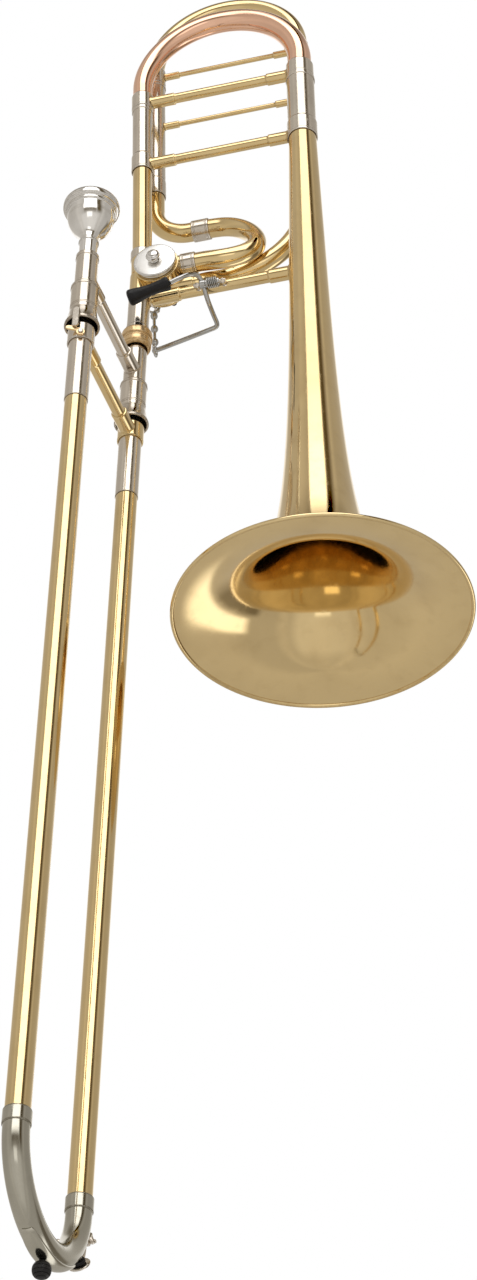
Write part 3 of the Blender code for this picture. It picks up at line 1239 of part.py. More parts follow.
def build_lever():
    """Thumb lever on the lower brace, its spring, thumb pad and the link to the crank."""
    left = neck_frame(0.0, 0.0, LOW_BRACE_Z)
    right = Vector((0.0, 0.0, LOW_BRACE_Z))
    left_axis = SLIDE @ Matrix.Translation((0.0, 0.0, LOW_BRACE_Z - SLIDE_PIVOT_Z))
    brace("lower_brace", left, right, LOW_BRACE_R, LOW_SOCKET_R, 0.0290, "yellow_brass",
          ((left_axis, STUB_R), (Matrix.Translation(right), flare_radius(LOW_BRACE_Z))), 20)

    axis = neck_frame(0.0, LEVER_Y, LEVER_Z)
    axis_matrix = Matrix.Translation(axis) @ ALONG_X
    pin_r = 0.0014
    bracket = store("lever_bracket", turned(rod_profile(pin_r, LEVER_X0 - 0.0047, LEVER_X1 + 0.0047, 0.0002),
                                            axis_matrix, 16), "nickel")
    for index, x in enumerate((LEVER_X0 - 0.0022, LEVER_X1 + 0.0022)):
        foot = neck_frame(x, 0.0, LOW_BRACE_Z)
        head = neck_frame(x, LEVER_Y, LEVER_Z)
        matrix, length = between(foot, head)
        leg = turned(rod_profile(0.0018, 0.0020, length + 0.0011, 0.0002), matrix, SMALL_SEGMENTS)
        combine(bracket, cut_tool(f"lever_bracket_leg_tool_{index}", leg), "UNION")
    trim_matrix = Matrix.Translation(neck_frame(0.0, 0.0, LOW_BRACE_Z)) @ ALONG_X
    combine(bracket, cylinder_tool("lever_bracket_trim_tool", LOW_BRACE_R + SEAT_GAP, trim_matrix, 0.0, NECK_TO_BELL),
            "DIFFERENCE")

    barrel_r = 0.0031
    lever = store("thumb_lever", turned(rod_profile(barrel_r, LEVER_X0, LEVER_X1, 0.0003), axis_matrix, 14),
                  "chrome", origin=axis)
    path_points = [
        neck_frame(0.0275, -0.0235, LEVER_Z - 0.0061),
        neck_frame(0.0340, -0.0222, LEVER_Z - 0.0021),
        neck_frame(0.0405, -0.0190, LEVER_Z + 0.0029),
        neck_frame(0.0455, -0.0150, LEVER_Z + 0.0049),
        neck_frame(0.0482, -0.0100, LEVER_Z + 0.0022),
        neck_frame(0.0490, -0.0048, LEVER_Z - 0.0028),
        neck_frame(0.0498, 0.0010, LEVER_Z - 0.0078),
        neck_frame(0.0512, 0.0110, LEVER_Z - 0.0126),
        neck_frame(0.0520, 0.0170, LEVER_Z - 0.0150),
        neck_frame(0.0505, 0.0194, LEVER_Z - 0.0161),
        neck_frame(0.0450, 0.0202, LEVER_Z - 0.0171),
        neck_frame(0.0300, 0.0225, LEVER_Z - 0.0187),
        neck_frame(0.0120, 0.0253, 0.2992),
        neck_frame(LINK_X, LINK_Y, LINK_Z),
    ]
    path = smooth_path(path_points, 2)
    rod = swept(path, [LEVER_ROD_R] * len(path), None, 7)
    combine(lever, cut_tool("thumb_lever_rod_tool", rod), "UNION")
    end = neck_frame(LINK_X, LINK_Y, LINK_Z)
    ball = bmesh.new()
    bmesh.ops.create_uvsphere(ball, u_segments=10, v_segments=6, radius=0.0024)
    bmesh.ops.translate(ball, verts=ball.verts, vec=end)
    combine(lever, cut_tool("thumb_lever_ball_tool", ball), "UNION")
    combine(lever, cylinder_tool("thumb_lever_bore_tool", pin_r + SHAFT_GAP, axis_matrix, LEVER_X0 - 0.005,
                                 LEVER_X1 + 0.005, 16), "DIFFERENCE")

    pad_path = [
        neck_frame(0.0272, -0.0235, LEVER_Z - 0.0063),
        neck_frame(0.0255, -0.0236, LEVER_Z - 0.0068),
        neck_frame(0.0210, -0.0237, LEVER_Z - 0.0080),
        neck_frame(0.0150, -0.0238, LEVER_Z - 0.0096),
        neck_frame(0.0090, -0.0238, LEVER_Z - 0.0112),
        neck_frame(0.0030, -0.0238, LEVER_Z - 0.0128),
        neck_frame(-0.0020, -0.0238, LEVER_Z - 0.0141),
        neck_frame(-0.0040, -0.0238, LEVER_Z - 0.0146),
    ]
    pad_radii = [0.0044, 0.0052, 0.0047, 0.0043, 0.0046, 0.0056, 0.0060, 0.0044]
    pad = store("thumb_pad", swept(pad_path, pad_radii, None, 12), "rubber", origin=axis)
    bore_path = smooth_path(path_points, 2)[:4]
    bore_start = path_points[0] + (path_points[0] - path_points[1]).normalized() * 0.0006
    combine(pad, cut_tool("thumb_pad_bore_tool", swept([bore_start, *bore_path], [LEVER_ROD_R + SEAT_GAP] * 5, None, 12)),
            "DIFFERENCE")

    turns = 4
    coil = []
    count = turns * 9
    for index in range(count + 1):
        share = index / count
        angle = 2.0 * math.pi * turns * share
        coil.append(neck_frame(
            LEVER_X0 + 0.0054 + 0.0080 * share,
            LEVER_Y + (barrel_r + SEAT_GAP + 0.0006) * math.cos(angle),
            LEVER_Z + (barrel_r + SEAT_GAP + 0.0006) * math.sin(angle),
        ))
    store("lever_spring", swept(coil, [0.0006] * len(coil), None, 5), "nickel", origin=axis)
    build_link()


def build_link():
    """Link that carries the lever's motion up to the rotor's crank."""
    low = neck_frame(LINK_X, LINK_Y, LINK_Z)
    high = crank_point(CRANK_REST, CRANK_R, CRANK_Y + 0.0022) - Vector((0.0014, 0.0, 0.0))
    direction = (high - low).normalized()
    eye = 0.0030
    start = low + direction * (eye + 0.0010)
    stop = high - direction * (eye + 0.0010)
    count = 9
    path = [start + (stop - start) * (index / (count - 1)) for index in range(count)]
    radii = [0.0013, 0.0028, 0.0014, 0.0011, 0.0029, 0.0012, 0.0013, 0.0028, 0.0013]
    link = store("crank_link", swept(path, radii, None, 8), "nickel", origin=low)
    low_eye = torus(low, Vector((1.0, 0.0, 0.0)), eye + 0.0012, 0.0010)
    combine(link, cut_tool("crank_link_low_eye_tool", low_eye), "UNION")
    high_eye = torus(high, Vector((0.0, 1.0, 0.0)), eye + 0.0012, 0.0010)
    combine(link, cut_tool("crank_link_high_eye_tool", high_eye), "UNION")


def torus(centre, axis, major, minor, around=14, section=6):
    """Small ring with a round section."""
    matrix, _ = between(centre, centre + axis)
    build = bmesh.new()
    profile = []
    for index in range(section):
        angle = 2.0 * math.pi * index / section
        profile.append((major + minor * math.cos(angle), minor * math.sin(angle)))
    return turned(profile, matrix, around, build)


clear_scene()
MATERIALS = {name: finish(name, *values) for name, values in FINISHES.items()}
build_bell()
build_tuning_slide()
build_neck()
build_loop_slide()
build_loop_pipes()
build_valve()
build_receiver_and_nut()
build_inner_slide()
build_outer_slide()
build_mouthpiece()
build_latch()
build_water_key()
build_lever()
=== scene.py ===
"""Looks of a slide trombone with a valve loop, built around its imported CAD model."""

import json
import logging
import math
from dataclasses import dataclass, field
from enum import Enum
from typing import Iterable, Sequence

import bmesh
import bpy
from mathutils import Matrix, Vector


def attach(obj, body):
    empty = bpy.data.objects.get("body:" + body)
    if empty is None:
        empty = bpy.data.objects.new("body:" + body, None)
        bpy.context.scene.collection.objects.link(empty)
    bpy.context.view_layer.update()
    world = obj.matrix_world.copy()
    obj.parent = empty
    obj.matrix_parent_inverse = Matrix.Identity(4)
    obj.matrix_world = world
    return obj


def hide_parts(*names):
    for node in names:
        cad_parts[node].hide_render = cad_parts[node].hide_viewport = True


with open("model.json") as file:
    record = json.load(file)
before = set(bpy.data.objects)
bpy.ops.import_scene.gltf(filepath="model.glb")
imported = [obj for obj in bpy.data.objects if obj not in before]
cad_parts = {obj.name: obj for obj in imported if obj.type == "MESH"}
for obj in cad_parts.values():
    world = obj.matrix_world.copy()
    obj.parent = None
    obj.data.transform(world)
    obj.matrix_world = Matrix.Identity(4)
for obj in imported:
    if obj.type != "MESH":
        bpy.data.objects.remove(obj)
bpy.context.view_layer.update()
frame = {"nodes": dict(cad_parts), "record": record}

LOG = logging.getLogger("trombone")

Colour = tuple[float, float, float]
Outline = list[tuple[float, ...]]


class Slot(Enum):
    """Material slots of the record that the finishes belong to."""

    YELLOW_BRASS = "yellow_brass"
    ROSE_BRASS = "rose_brass"
    NICKEL = "nickel"
    SILVER = "silver"
    CHROME = "chrome"
    NUT_BRASS = "nut_brass"
    RUBBER = "rubber"
    CORK = "cork"


@dataclass(frozen=True)
class Layout:
    """Where the instrument's main axes run, in metres."""

    neck_to_bell: float = 0.1250
    loop_back: float = 0.0226
    loop_left_x: float = 0.0040
    loop_right_x: float = 0.1197
    slide_spacing: float = 0.1004
    slide_lean_x: float = math.radians(2.15)
    slide_lean_y: float = math.radians(1.63)
    slide_turn: float = math.radians(4.15)
    slide_pivot_z: float = 0.3659
    valve_x: float = 0.0135
    valve_z: float = 0.3488

    def neck(self, x: float, y: float, z: float) -> Vector:
        """Point measured from the neck pipe's axis."""
        return Vector((x - self.neck_to_bell, y, z))

    def upright(self, x: float, y: float) -> Matrix:
        """Upright axis measured from the neck pipe's axis."""
        return Matrix.Translation(self.neck(x, y, 0.0))

    def slide(self) -> Matrix:
        """Frame of the hand slide, +Z up along its neck-side leg."""
        up = Vector((math.tan(self.slide_lean_x), math.tan(self.slide_lean_y), 1.0)).normalized()
        across = Vector((math.sin(self.slide_turn), math.cos(self.slide_turn), 0.0))
        across = (across - up * across.dot(up)).normalized()
        basis = Matrix((across.cross(up), across, up)).transposed().to_4x4()
        return Matrix.Translation(self.neck(0.0, 0.0, self.slide_pivot_z)) @ basis

    def mouth_leg(self) -> Matrix:
        """Frame of the slide's other leg, which carries the mouthpiece."""
        return self.slide() @ Matrix.Translation((0.0, -self.slide_spacing, 0.0))

    def slide_up(self) -> Vector:
        """Direction up along the hand slide's legs."""
        return self.slide().to_3x3().col[2].copy()

    def valve(self) -> Matrix:
        """Frame of the valve, +Z away from the thumb along the rotor's axis."""
        centre = self.neck(self.valve_x, 0.0, self.valve_z)
        return Matrix.Translation(centre) @ TO_BACK


LAYOUT = Layout()
SEAT_GAP = 0.0003
SHAFT_GAP = 0.00006
GROOVE = 0.00022
UP = Vector((0.0, 0.0, 1.0))
DOWN = Vector((0.0, 0.0, -1.0))
RIGHTWARDS = Vector((1.0, 0.0, 0.0))
LEFTWARDS = Vector((-1.0, 0.0, 0.0))
ALONG_X = Matrix.Rotation(math.radians(90.0), 4, "Y")
TO_BACK = Matrix.Rotation(math.radians(-90.0), 4, "X")


def between(start: Vector, stop: Vector) -> tuple[Matrix, float]:
    """Frame at one point whose Z axis runs to another.

    Args:
        start: Point the frame sits on.
        stop: Point its Z axis goes to.

    Returns:
        The frame and the distance between the points.
    """
    span = stop - start
    turn = UP.rotation_difference(span.normalized())
    return Matrix.Translation(start) @ turn.to_matrix().to_4x4(), span.length


def arc(centre: Vector, first: Vector, second: Vector, radius: float, start: float, stop: float,
        steps: int) -> list[Vector]:
    """Points along an arc.

    Args:
        centre: Middle of the arc.
        first: Direction at angle zero.
        second: Direction at a quarter turn.
        radius: Radius of the arc.
        start: Angle of the first point.
        stop: Angle of the last point.
        steps: Number of spans.

    Returns:
        The points from start to stop.
    """
    made = []
    for index in range(steps + 1):
        angle = start + (stop - start) * index / steps
        made.append(centre + (first * math.cos(angle) + second * math.sin(angle)) * radius)
    return made


def rounded_path(points: Sequence[Vector], steps: int) -> list[Vector]:
    """Smooth curve through some points.

    Args:
        points: Points on the curve.
        steps: Spans between two of them.

    Returns:
        Points along the curve.
    """
    made = []
    padded = [points[0] * 2.0 - points[1], *points, points[-1] * 2.0 - points[-2]]
    for index in range(1, len(padded) - 2):
        a, b, c, d = padded[index - 1:index + 3]
        for step in range(steps):
            t = step / steps
            value = b * 2.0 + (c - a) * t
            value += (a * 2.0 - b * 5.0 + c * 4.0 - d) * t * t
            value += (b * 3.0 - a - c * 3.0 + d) * t * t * t
            made.append(value * 0.5)
    made.append(points[-1].copy())
    return made


def softened(outline: Sequence[tuple[float, float]], reach: float, steps: int = 4,
             closed: bool = True) -> Outline:
    """Round the corners of a turned outline and mark how each corner wears and where shade is painted.

    Args:
        outline: Radius and height pairs, up the outside where its edges are to wear bright.
        reach: How far along each side a rounding starts, in metres.
        steps: Spans in each rounding.
        closed: True when the last point joins the first.

    Returns:
        Points with a third number, above 0 where it wears bright, below 0 where painted shade darkens it.
    """
    points = [Vector(point) for point in outline]
    count = len(points)
    middle = sum((point.x for point in points), 0.0) / count
    made: Outline = []
    for index, here in enumerate(points):
        if not closed and index in (0, count - 1):
            made.append((here.x, here.y, 0.0))
            continue
        before = here - points[index - 1]
        after = points[(index + 1) % count] - here
        if before.length < 1e-7 or after.length < 1e-7:
            continue
        turn = before.angle_signed(after)
        if abs(turn) < math.radians(9.0):
            made.append((here.x, here.y, 0.0))
            continue
        cut = min(reach, before.length * 0.42, after.length * 0.42)
        start = here - before.normalized() * cut
        stop = here + after.normalized() * cut
        # Marks above 0 wear bright. Marks below 0 get painted shade, which is strongest at -1.
        mark = (1.0 if here.x > middle else -0.3) if turn < 0.0 else -1.0
        guard = min(cut * 1.2, before.length * 0.2)
        if before.length - cut > guard * 2.0:
            rest = start - before.normalized() * guard
            made.append((rest.x, rest.y, 0.0))
        for step in range(steps + 1):
            t = step / steps
            point = start * (1 - t) ** 2 + here * (2 * t * (1 - t)) + stop * t ** 2
            made.append((point.x, point.y, mark))
        guard = min(cut * 1.2, after.length * 0.2)
        if after.length - cut > guard * 2.0:
            rest = stop + after.normalized() * guard
            made.append((rest.x, rest.y, 0.0))
    return made


def wear_and_shade_marks(build: bmesh.types.BMesh) -> bmesh.types.BMLayerItem:
    """Layer of a mesh that says how each point wears and where shade is painted, made when it isn't there
    yet.
    """
    layers = build.verts.layers.float
    return layers.get("corner") or layers.new("corner")


def turned(outline: Iterable[tuple[float, ...]], matrix: Matrix, segments: int = 56,
           build: bmesh.types.BMesh | None = None) -> bmesh.types.BMesh:
    """Spin an outline around a frame's Z axis.

    Args:
        outline: Radius and height, and as a third number how the place wears, below 0 painted shade.
        matrix: Frame that it is spun in.
        segments: Sides of the spun shape.
        build: Mesh to add to.

    Returns:
        The mesh with the turned shape in it.
    """
    build = build or bmesh.new()
    layer = wear_and_shade_marks(build)
    points = [(point[0], point[1], point[2] if len(point) > 2 else 0.0) for point in outline]
    solid = points[0][0] < 1e-7 and points[-1][0] < 1e-7
    rows = []
    for radius, height, mark in points:
        sides = 1 if radius < 1e-7 else segments
        row = []
        for index in range(sides):
            angle = 2.0 * math.pi * index / segments
            place = Vector((radius * math.cos(angle), radius * math.sin(angle), height))
            vert = build.verts.new(matrix @ place)
            vert[layer] = mark
            row.append(vert)
        rows.append(row)
    pairs = list(zip(rows, rows[1:]))
    if not solid:
        pairs.append((rows[-1], rows[0]))
    for first, second in pairs:
        for index in range(segments):
            after = (index + 1) % segments
            corners = [first[index % len(first)], second[index % len(second)],
                       second[after % len(second)], first[after % len(first)]]
            corners = [c for n, c in enumerate(corners) if c is not corners[n - 1]]
            if len(corners) > 2:
                build.faces.new(corners)
    return build


def path_frames(points: Sequence[Vector]) -> list[tuple[Vector, Vector]]:
    """Side vectors along a path that don't twist.

    Args:
        points: Points along the path.

    Returns:
        Two directions square to the path for each point.
    """
    count = len(points)
    forward = []
    for index in range(count):
        span = points[min(index + 1, count - 1)] - points[max(index - 1, 0)]
        forward.append(span.normalized())
    side = forward[0].orthogonal().normalized()
    frames = []
    for index in range(count):
        if index:
            side = forward[index - 1].rotation_difference(forward[index]) @ side
            side = (side - forward[index] * side.dot(forward[index])).normalized()
        frames.append((side, forward[index].cross(side).normalized()))
    return frames


def swept(points: Sequence[Vector], radii: Sequence[float], bores: Sequence[float] | None = None,
          segments: int = 40, build: bmesh.types.BMesh | None = None) -> bmesh.types.BMesh:
    """Pipe or rod along a path.

    Args:
        points: Points along its middle.
        radii: Outside radius at each point.
        bores: Inside radius at each point, or None for a solid rod.
        segments: Sides of its section.
        build: Mesh to add to.

    Returns:
        The mesh with the pipe in it.
    """
    build = build or bmesh.new()
    wear_and_shade_marks(build)
    frames = path_frames(points)
    layers = []
    for sizes in (radii, bores):
        if sizes is None:
            continue
        rows = []
        for point, (side, rise), radius in zip(points, frames, sizes):
            row = []
            for index in range(segments):
                angle = 2.0 * math.pi * index / segments
                spoke = side * math.cos(angle) + rise * math.sin(angle)
                row.append(build.verts.new(point + spoke * radius))
            rows.append(row)
        layers.append(rows)
    for rows in layers:
        for first, second in zip(rows, rows[1:]):
            join_rows(build, first, second)
    if bores is None:
        build.faces.new(layers[0][0])
        build.faces.new(layers[0][-1])
    else:
        join_rows(build, layers[0][0], layers[1][0])
        join_rows(build, layers[0][-1], layers[1][-1])
    return build


def join_rows(build: bmesh.types.BMesh, first: Sequence[bmesh.types.BMVert],
              second: Sequence[bmesh.types.BMVert]) -> None:
    """Put faces between two closed rows of points.

    Args:
        build: Mesh to add to.
        first: One row.
        second: The next row, with as many points.
    """
    count = len(first)
    for index in range(count):
        after = (index + 1) % count
        build.faces.new((first[index], second[index], second[after], first[after]))


def close_rows(build: bmesh.types.BMesh, rows: Sequence[Sequence[bmesh.types.BMVert]]) -> None:
    """Put faces between rows of points and over the first and the last row.

    Args:
        build: Mesh to add to.
        rows: Closed rings with equally many points.
    """
    for first, second in zip(rows, rows[1:]):
        join_rows(build, first, second)
    build.faces.new(rows[0])
    build.faces.new(rows[-1])


def plain_pipe(outer_r: float, bore_r: float, low: float, high: float, reach: float = 0.0004) -> Outline:
    """Outline of a straight pipe with softened ends.

    Args:
        outer_r: Outside radius.
        bore_r: Inside radius.
        low: Height of its lower end.
        high: Height of its upper end.
        reach: Size of the rounding at its ends.

    Returns:
        The closed outline.
    """
    return softened([(outer_r, low), (outer_r, high), (bore_r, high), (bore_r, low)], reach)


def grooved(radius: float, start: float, stop: float, *depths: float) -> list[tuple[float, float]]:
    """Straight wall with fine turned lines in it.

    Args:
        radius: Radius of the wall.
        start: Height where it starts.
        stop: Height where it ends.
        depths: Distance of each line from the start.

    Returns:
        Points from start to stop.
    """
    sign = 1.0 if stop > start else -1.0
    points = [(radius, start)]
    for depth in depths:
        centre = start + sign * depth
        step = sign * GROOVE
        points += [(radius, centre - step), (radius - GROOVE, centre), (radius, centre + step)]
    return points + [(radius, stop)]


def rod(radius: float, low: float, high: float, reach: float = 0.0005) -> Outline:
    """Outline of a solid rod with softened ends.

    Args:
        radius: Radius of the rod.
        low: Height of its lower end.
        high: Height of its upper end.
        reach: Size of the rounding at its ends.

    Returns:
        The outline from axis to axis.
    """
    return softened([(0.0, low), (radius, low), (radius, high), (0.0, high)], reach, closed=False)


@dataclass(frozen=True)
class Seat:
    """Tube that a brace is soldered to."""

    axis: Vector
    radius: float

    def reach(self, offset: Vector, along: Vector) -> float:
        """Distance from the tube's middle to its wall for a point beside the brace's axis.

        Args:
            offset: Step from the brace's axis to the point.
            along: Direction of the brace, away from the tube.

        Returns:
            How far along the brace the wall is met.
        """
        flat = offset - self.axis * offset.dot(self.axis)
        ray = along - self.axis * along.dot(self.axis)
        a = ray.length_squared
        b = flat.dot(ray)
        c = flat.length_squared - self.radius ** 2
        return (-b + math.sqrt(max(b * b - a * c, 0.0))) / a


def brace_shape(start: Vector, stop: Vector, radius: float, socket_r: float, socket: float,
                seats: tuple[Seat, Seat], build: bmesh.types.BMesh | None = None,
                segments: int = 40) -> bmesh.types.BMesh:
    """Tubular brace whose flanged sockets hug the tubes at its ends.

    Args:
        start: Point on the first tube's axis.
        stop: Point on the second tube's axis.
        radius: Radius of the bar.
        socket_r: Radius of the sockets.
        socket: Distance from a tube's axis to the end of its socket.
        seats: The two tubes.
        build: Mesh to add to.
        segments: Sides of the bar.

    Returns:
        The mesh with the brace in it.
    """
    build = build or bmesh.new()
    layer = wear_and_shade_marks(build)
    along = (stop - start).normalized()
    side = along.orthogonal().normalized()
    rise = along.cross(side)
    step = (socket_r - radius) * 0.5
    # Marks below 0, where the socket meets its tube and where it steps to the bar, get painted shade. Marks
    # above 0 on the socket's rim wear bright.
    stations = [(0.0, socket_r + 0.0007, True, -1.0), (0.0003, socket_r + 0.0003, True, -0.8),
                (0.0008, socket_r + 0.00005, True, -0.3), (0.0016, socket_r, True, 0.0),
                (socket - step * 2.5, socket_r, False, 0.0), (socket - step, socket_r, False, 0.6),
                (socket - step * 0.3, socket_r - step * 0.3, False, 1.0),
                (socket, socket_r - step, False, 0.4),
                (socket + step * 0.1, radius + step * 0.25, False, -1.0),
                (socket + step * 0.5, radius, False, -0.6), (socket + step * 3.0, radius, False, 0.0)]
    rows = []
    for end, (origin, seat, sign) in enumerate(((start, seats[0], 1.0), (stop, seats[1], -1.0))):
        mine = []
        for distance, ring_r, hugging, mark in stations:
            row = []
            for index in range(segments):
                angle = 2.0 * math.pi * index / segments
                offset = side * (ring_r * math.cos(angle)) + rise * (ring_r * math.sin(angle))
                depth = distance
                if hugging:
                    depth += seat.reach(offset, along * sign) + 0.00005
                vert = build.verts.new(origin + offset + along * (sign * depth))
                vert[layer] = mark
                row.append(vert)
            mine.append(row)
        foot = build.verts.new(origin + along * (sign * seat.radius * 0.97))
        for index in range(segments):
            build.faces.new((foot, mine[0][(index + 1) % segments], mine[0][index]))
        rows += mine if end == 0 else list(reversed(mine))
    for first, second in zip(rows, rows[1:]):
        join_rows(build, first, second)
    return build


@dataclass
class NodeBench:
    """Adds nodes to one tree and joins them."""

    tree: bpy.types.NodeTree

    def add(self, kind: str, **settings: object) -> bpy.types.Node:
        """Add a node.

        Args:
            kind: Name of the node's type.
            settings: Properties of the node.

        Returns:
            The new node.
        """
        node = self.tree.nodes.new(kind)
        for name, value in settings.items():
            setattr(node, name, value)
        return node

    def join(self, source: bpy.types.NodeSocket, target: bpy.types.NodeSocket) -> None:
        """Link two sockets."""
        self.tree.links.new(source, target)

    def reckon(self, operation: str, first: object, second: object = 0.0,
               clamp: bool = False) -> bpy.types.NodeSocket:
        """Add a Math node.

        Args:
            operation: What it works out.
            first: Socket or number.
            second: Socket or number.
            clamp: Keep the result between 0 and 1.

        Returns:
            Its result.
        """
        node = self.add("ShaderNodeMath", operation=operation, use_clamp=clamp)
        for socket, value in zip(node.inputs, (first, second)):
            if isinstance(value, bpy.types.NodeSocket):
                self.join(value, socket)
            else:
                socket.default_value = value
        return node.outputs[0]

    def spread(self, value: bpy.types.NodeSocket, low: float, high: float, bottom: float = 0.0,
               top: float = 1.0) -> bpy.types.NodeSocket:
        """Map a value from one range to another, and hold it there.

        Args:
            value: Socket with the value.
            low: Lower end of its range.
            high: Upper end of its range.
            bottom: What the lower end becomes.
            top: What the upper end becomes.

        Returns:
            The mapped value.
        """
        node = self.add("ShaderNodeMapRange", clamp=True)
        for name, number in (("From Min", low), ("From Max", high), ("To Min", bottom), ("To Max", top)):
            node.inputs[name].default_value = number
        self.join(value, node.inputs["Value"])
        return node.outputs["Result"]

    def noise(self, place: bpy.types.NodeSocket, scale: float, detail: float = 3.0,
              rough: float = 0.55) -> bpy.types.NodeSocket:
        """Add a noise pattern.

        Args:
            place: Coordinates.
            scale: Features per metre.
            detail: Octaves.
            rough: Weight of the fine octaves.

        Returns:
            Its value.
        """
        node = self.add("ShaderNodeTexNoise")
        node.inputs["Scale"].default_value = scale
        node.inputs["Detail"].default_value = detail
        node.inputs["Roughness"].default_value = rough
        self.join(place, node.inputs["Vector"])
        return node.outputs["Fac"]

    def blend(self, share: bpy.types.NodeSocket, first: object, second: object) -> bpy.types.NodeSocket:
        """Mix two colours.

        Args:
            share: How much of the second.
            first: Socket or colour.
            second: Socket or colour.

        Returns:
            The mixed colour.
        """
        node = self.add("ShaderNodeMix", data_type="RGBA")
        self.join(share, node.inputs["Factor"])
        for socket, value in ((node.inputs[6], first), (node.inputs[7], second)):
            if isinstance(value, bpy.types.NodeSocket):
                self.join(value, socket)
            else:
                socket.default_value = (*value, 1.0)
        return node.outputs[2]

    def choose(self, share: bpy.types.NodeSocket, first: bpy.types.NodeSocket,
               second: bpy.types.NodeSocket) -> bpy.types.NodeSocket:
        """Mix two shaders.

        Args:
            share: How much of the second.
            first: One shader.
            second: The other shader.

        Returns:
            The mixed shader.
        """
        node = self.add("ShaderNodeMixShader")
        for source, target in zip((share, first, second), node.inputs):
            self.join(source, target)
        return node.outputs[0]

    def roughen(self, shader: bpy.types.Node, height: bpy.types.NodeSocket, distance: float,
                strength: float = 1.0) -> None:
        """Bend a shader's normal by a height.

        Args:
            shader: The shader.
            height: Socket with the height.
            distance: How deep a height of one is, in metres.
            strength: How strongly it shows.
        """
        bump = self.add("ShaderNodeBump")
        bump.inputs["Strength"].default_value = strength
        bump.inputs["Distance"].default_value = distance
        self.join(height, bump.inputs["Height"])
        self.join(bump.outputs["Normal"], shader.inputs["Normal"])


def set_out(name: str, data: bpy.types.ID) -> bpy.types.Object:
    """Put a mesh, lamp or camera into the scene."""
    item = bpy.data.objects.new(name, data)
    bpy.context.scene.collection.objects.link(item)
    return item


def new_material(name: str) -> tuple[bpy.types.Material, NodeBench, bpy.types.Node]:
    """Start a material.

    Args:
        name: Name of the material.

    Returns:
        The material, its bench and its Principled shader.
    """
    made = bpy.data.materials.new(name)
    made.use_nodes = True
    return made, NodeBench(made.node_tree), made.node_tree.nodes["Principled BSDF"]


class SurfaceEffects:
    """Shader node groups that several finishes share, each built once."""

    def __init__(self) -> None:
        """Build the groups."""
        self.handling = self._handling()
        self.edges = self._edges()

    @staticmethod
    def _group(name: str, inputs: Iterable[tuple[str, str, float]],
               outputs: Iterable[str]) -> tuple[NodeBench, bpy.types.Node, bpy.types.Node]:
        """Start a node group.

        Args:
            name: Name of the group.
            inputs: Name, kind and starting value of each input.
            outputs: Name of each output value.

        Returns:
            Its bench, its input node and its output node.
        """
        tree = bpy.data.node_groups.new(name, "ShaderNodeTree")
        for title, kind, value in inputs:
            socket = tree.interface.new_socket(name=title, in_out="INPUT", socket_type=kind)
            socket.default_value = value
        for title in outputs:
            tree.interface.new_socket(name=title, in_out="OUTPUT", socket_type="NodeSocketFloat")
        bench = NodeBench(tree)
        return bench, bench.add("NodeGroupInput"), bench.add("NodeGroupOutput")

    def _handling(self) -> bpy.types.NodeTree:
        """Finger smudges, cloudy polish and fine hairline scratches."""
        bench, source, target = self._group(
            "handling_marks",
            [("Smudge Size", "NodeSocketFloat", 1.0), ("Hairline Size", "NodeSocketFloat", 1.0)],
            ["Smudge", "Cloud", "Hairlines"])
        place = bench.add("ShaderNodeTexCoord").outputs["Object"]
        big = bench.add("ShaderNodeVectorMath", operation="SCALE")
        bench.join(place, big.inputs[0])
        bench.join(source.outputs["Smudge Size"], big.inputs["Scale"])
        prints = bench.spread(bench.noise(big.outputs[0], 95.0, 5.0, 0.62), 0.52, 0.70)
        bench.join(prints, target.inputs["Smudge"])
        bench.join(bench.noise(big.outputs[0], 24.0, 2.0), target.inputs["Cloud"])
        fine = bench.add("ShaderNodeMapping")
        fine.inputs["Scale"].default_value = (1.0, 1.0, 0.06)
        bench.join(place, fine.inputs["Vector"])
        small = bench.add("ShaderNodeVectorMath", operation="SCALE")
        bench.join(fine.outputs[0], small.inputs[0])
        bench.join(source.outputs["Hairline Size"], small.inputs["Scale"])
        lines = bench.noise(small.outputs[0], 1500.0, 3.0, 0.7)
        bench.join(bench.spread(lines, 0.35, 0.75), target.inputs["Hairlines"])
        return bench.tree

    def _edges(self) -> bpy.types.NodeTree:
        """Bright wear on outer edges, and painted shade with dull tarnish in hollow corners, from the marks
        on the mesh.
        """
        bench, source, target = self._group(
            "edge_wear_and_hollow_shade", [("Spread", "NodeSocketFloat", 1.0)], ["Wear", "Crevice Shade"])
        mark = bench.add("ShaderNodeAttribute", attribute_name="corner").outputs["Fac"]
        place = bench.add("ShaderNodeTexCoord").outputs["Object"]
        patchy = bench.spread(bench.noise(place, 420.0, 4.0, 0.6), 0.34, 0.62, 0.25, 1.0)
        worn = bench.reckon("MULTIPLY", bench.reckon("MAXIMUM", mark, 0.0), patchy)
        # Marks below 0 sit in hollow corners, which get painted shade there, darker and duller.
        hollow = bench.reckon("MAXIMUM", bench.reckon("MULTIPLY", mark, -1.0), 0.0)
        deep = bench.reckon("MULTIPLY", hollow, patchy)
        for value, title in ((worn, "Wear"), (deep, "Crevice Shade")):
            bench.join(bench.reckon("MULTIPLY", value, source.outputs["Spread"], True), target.inputs[title])
        return bench.tree


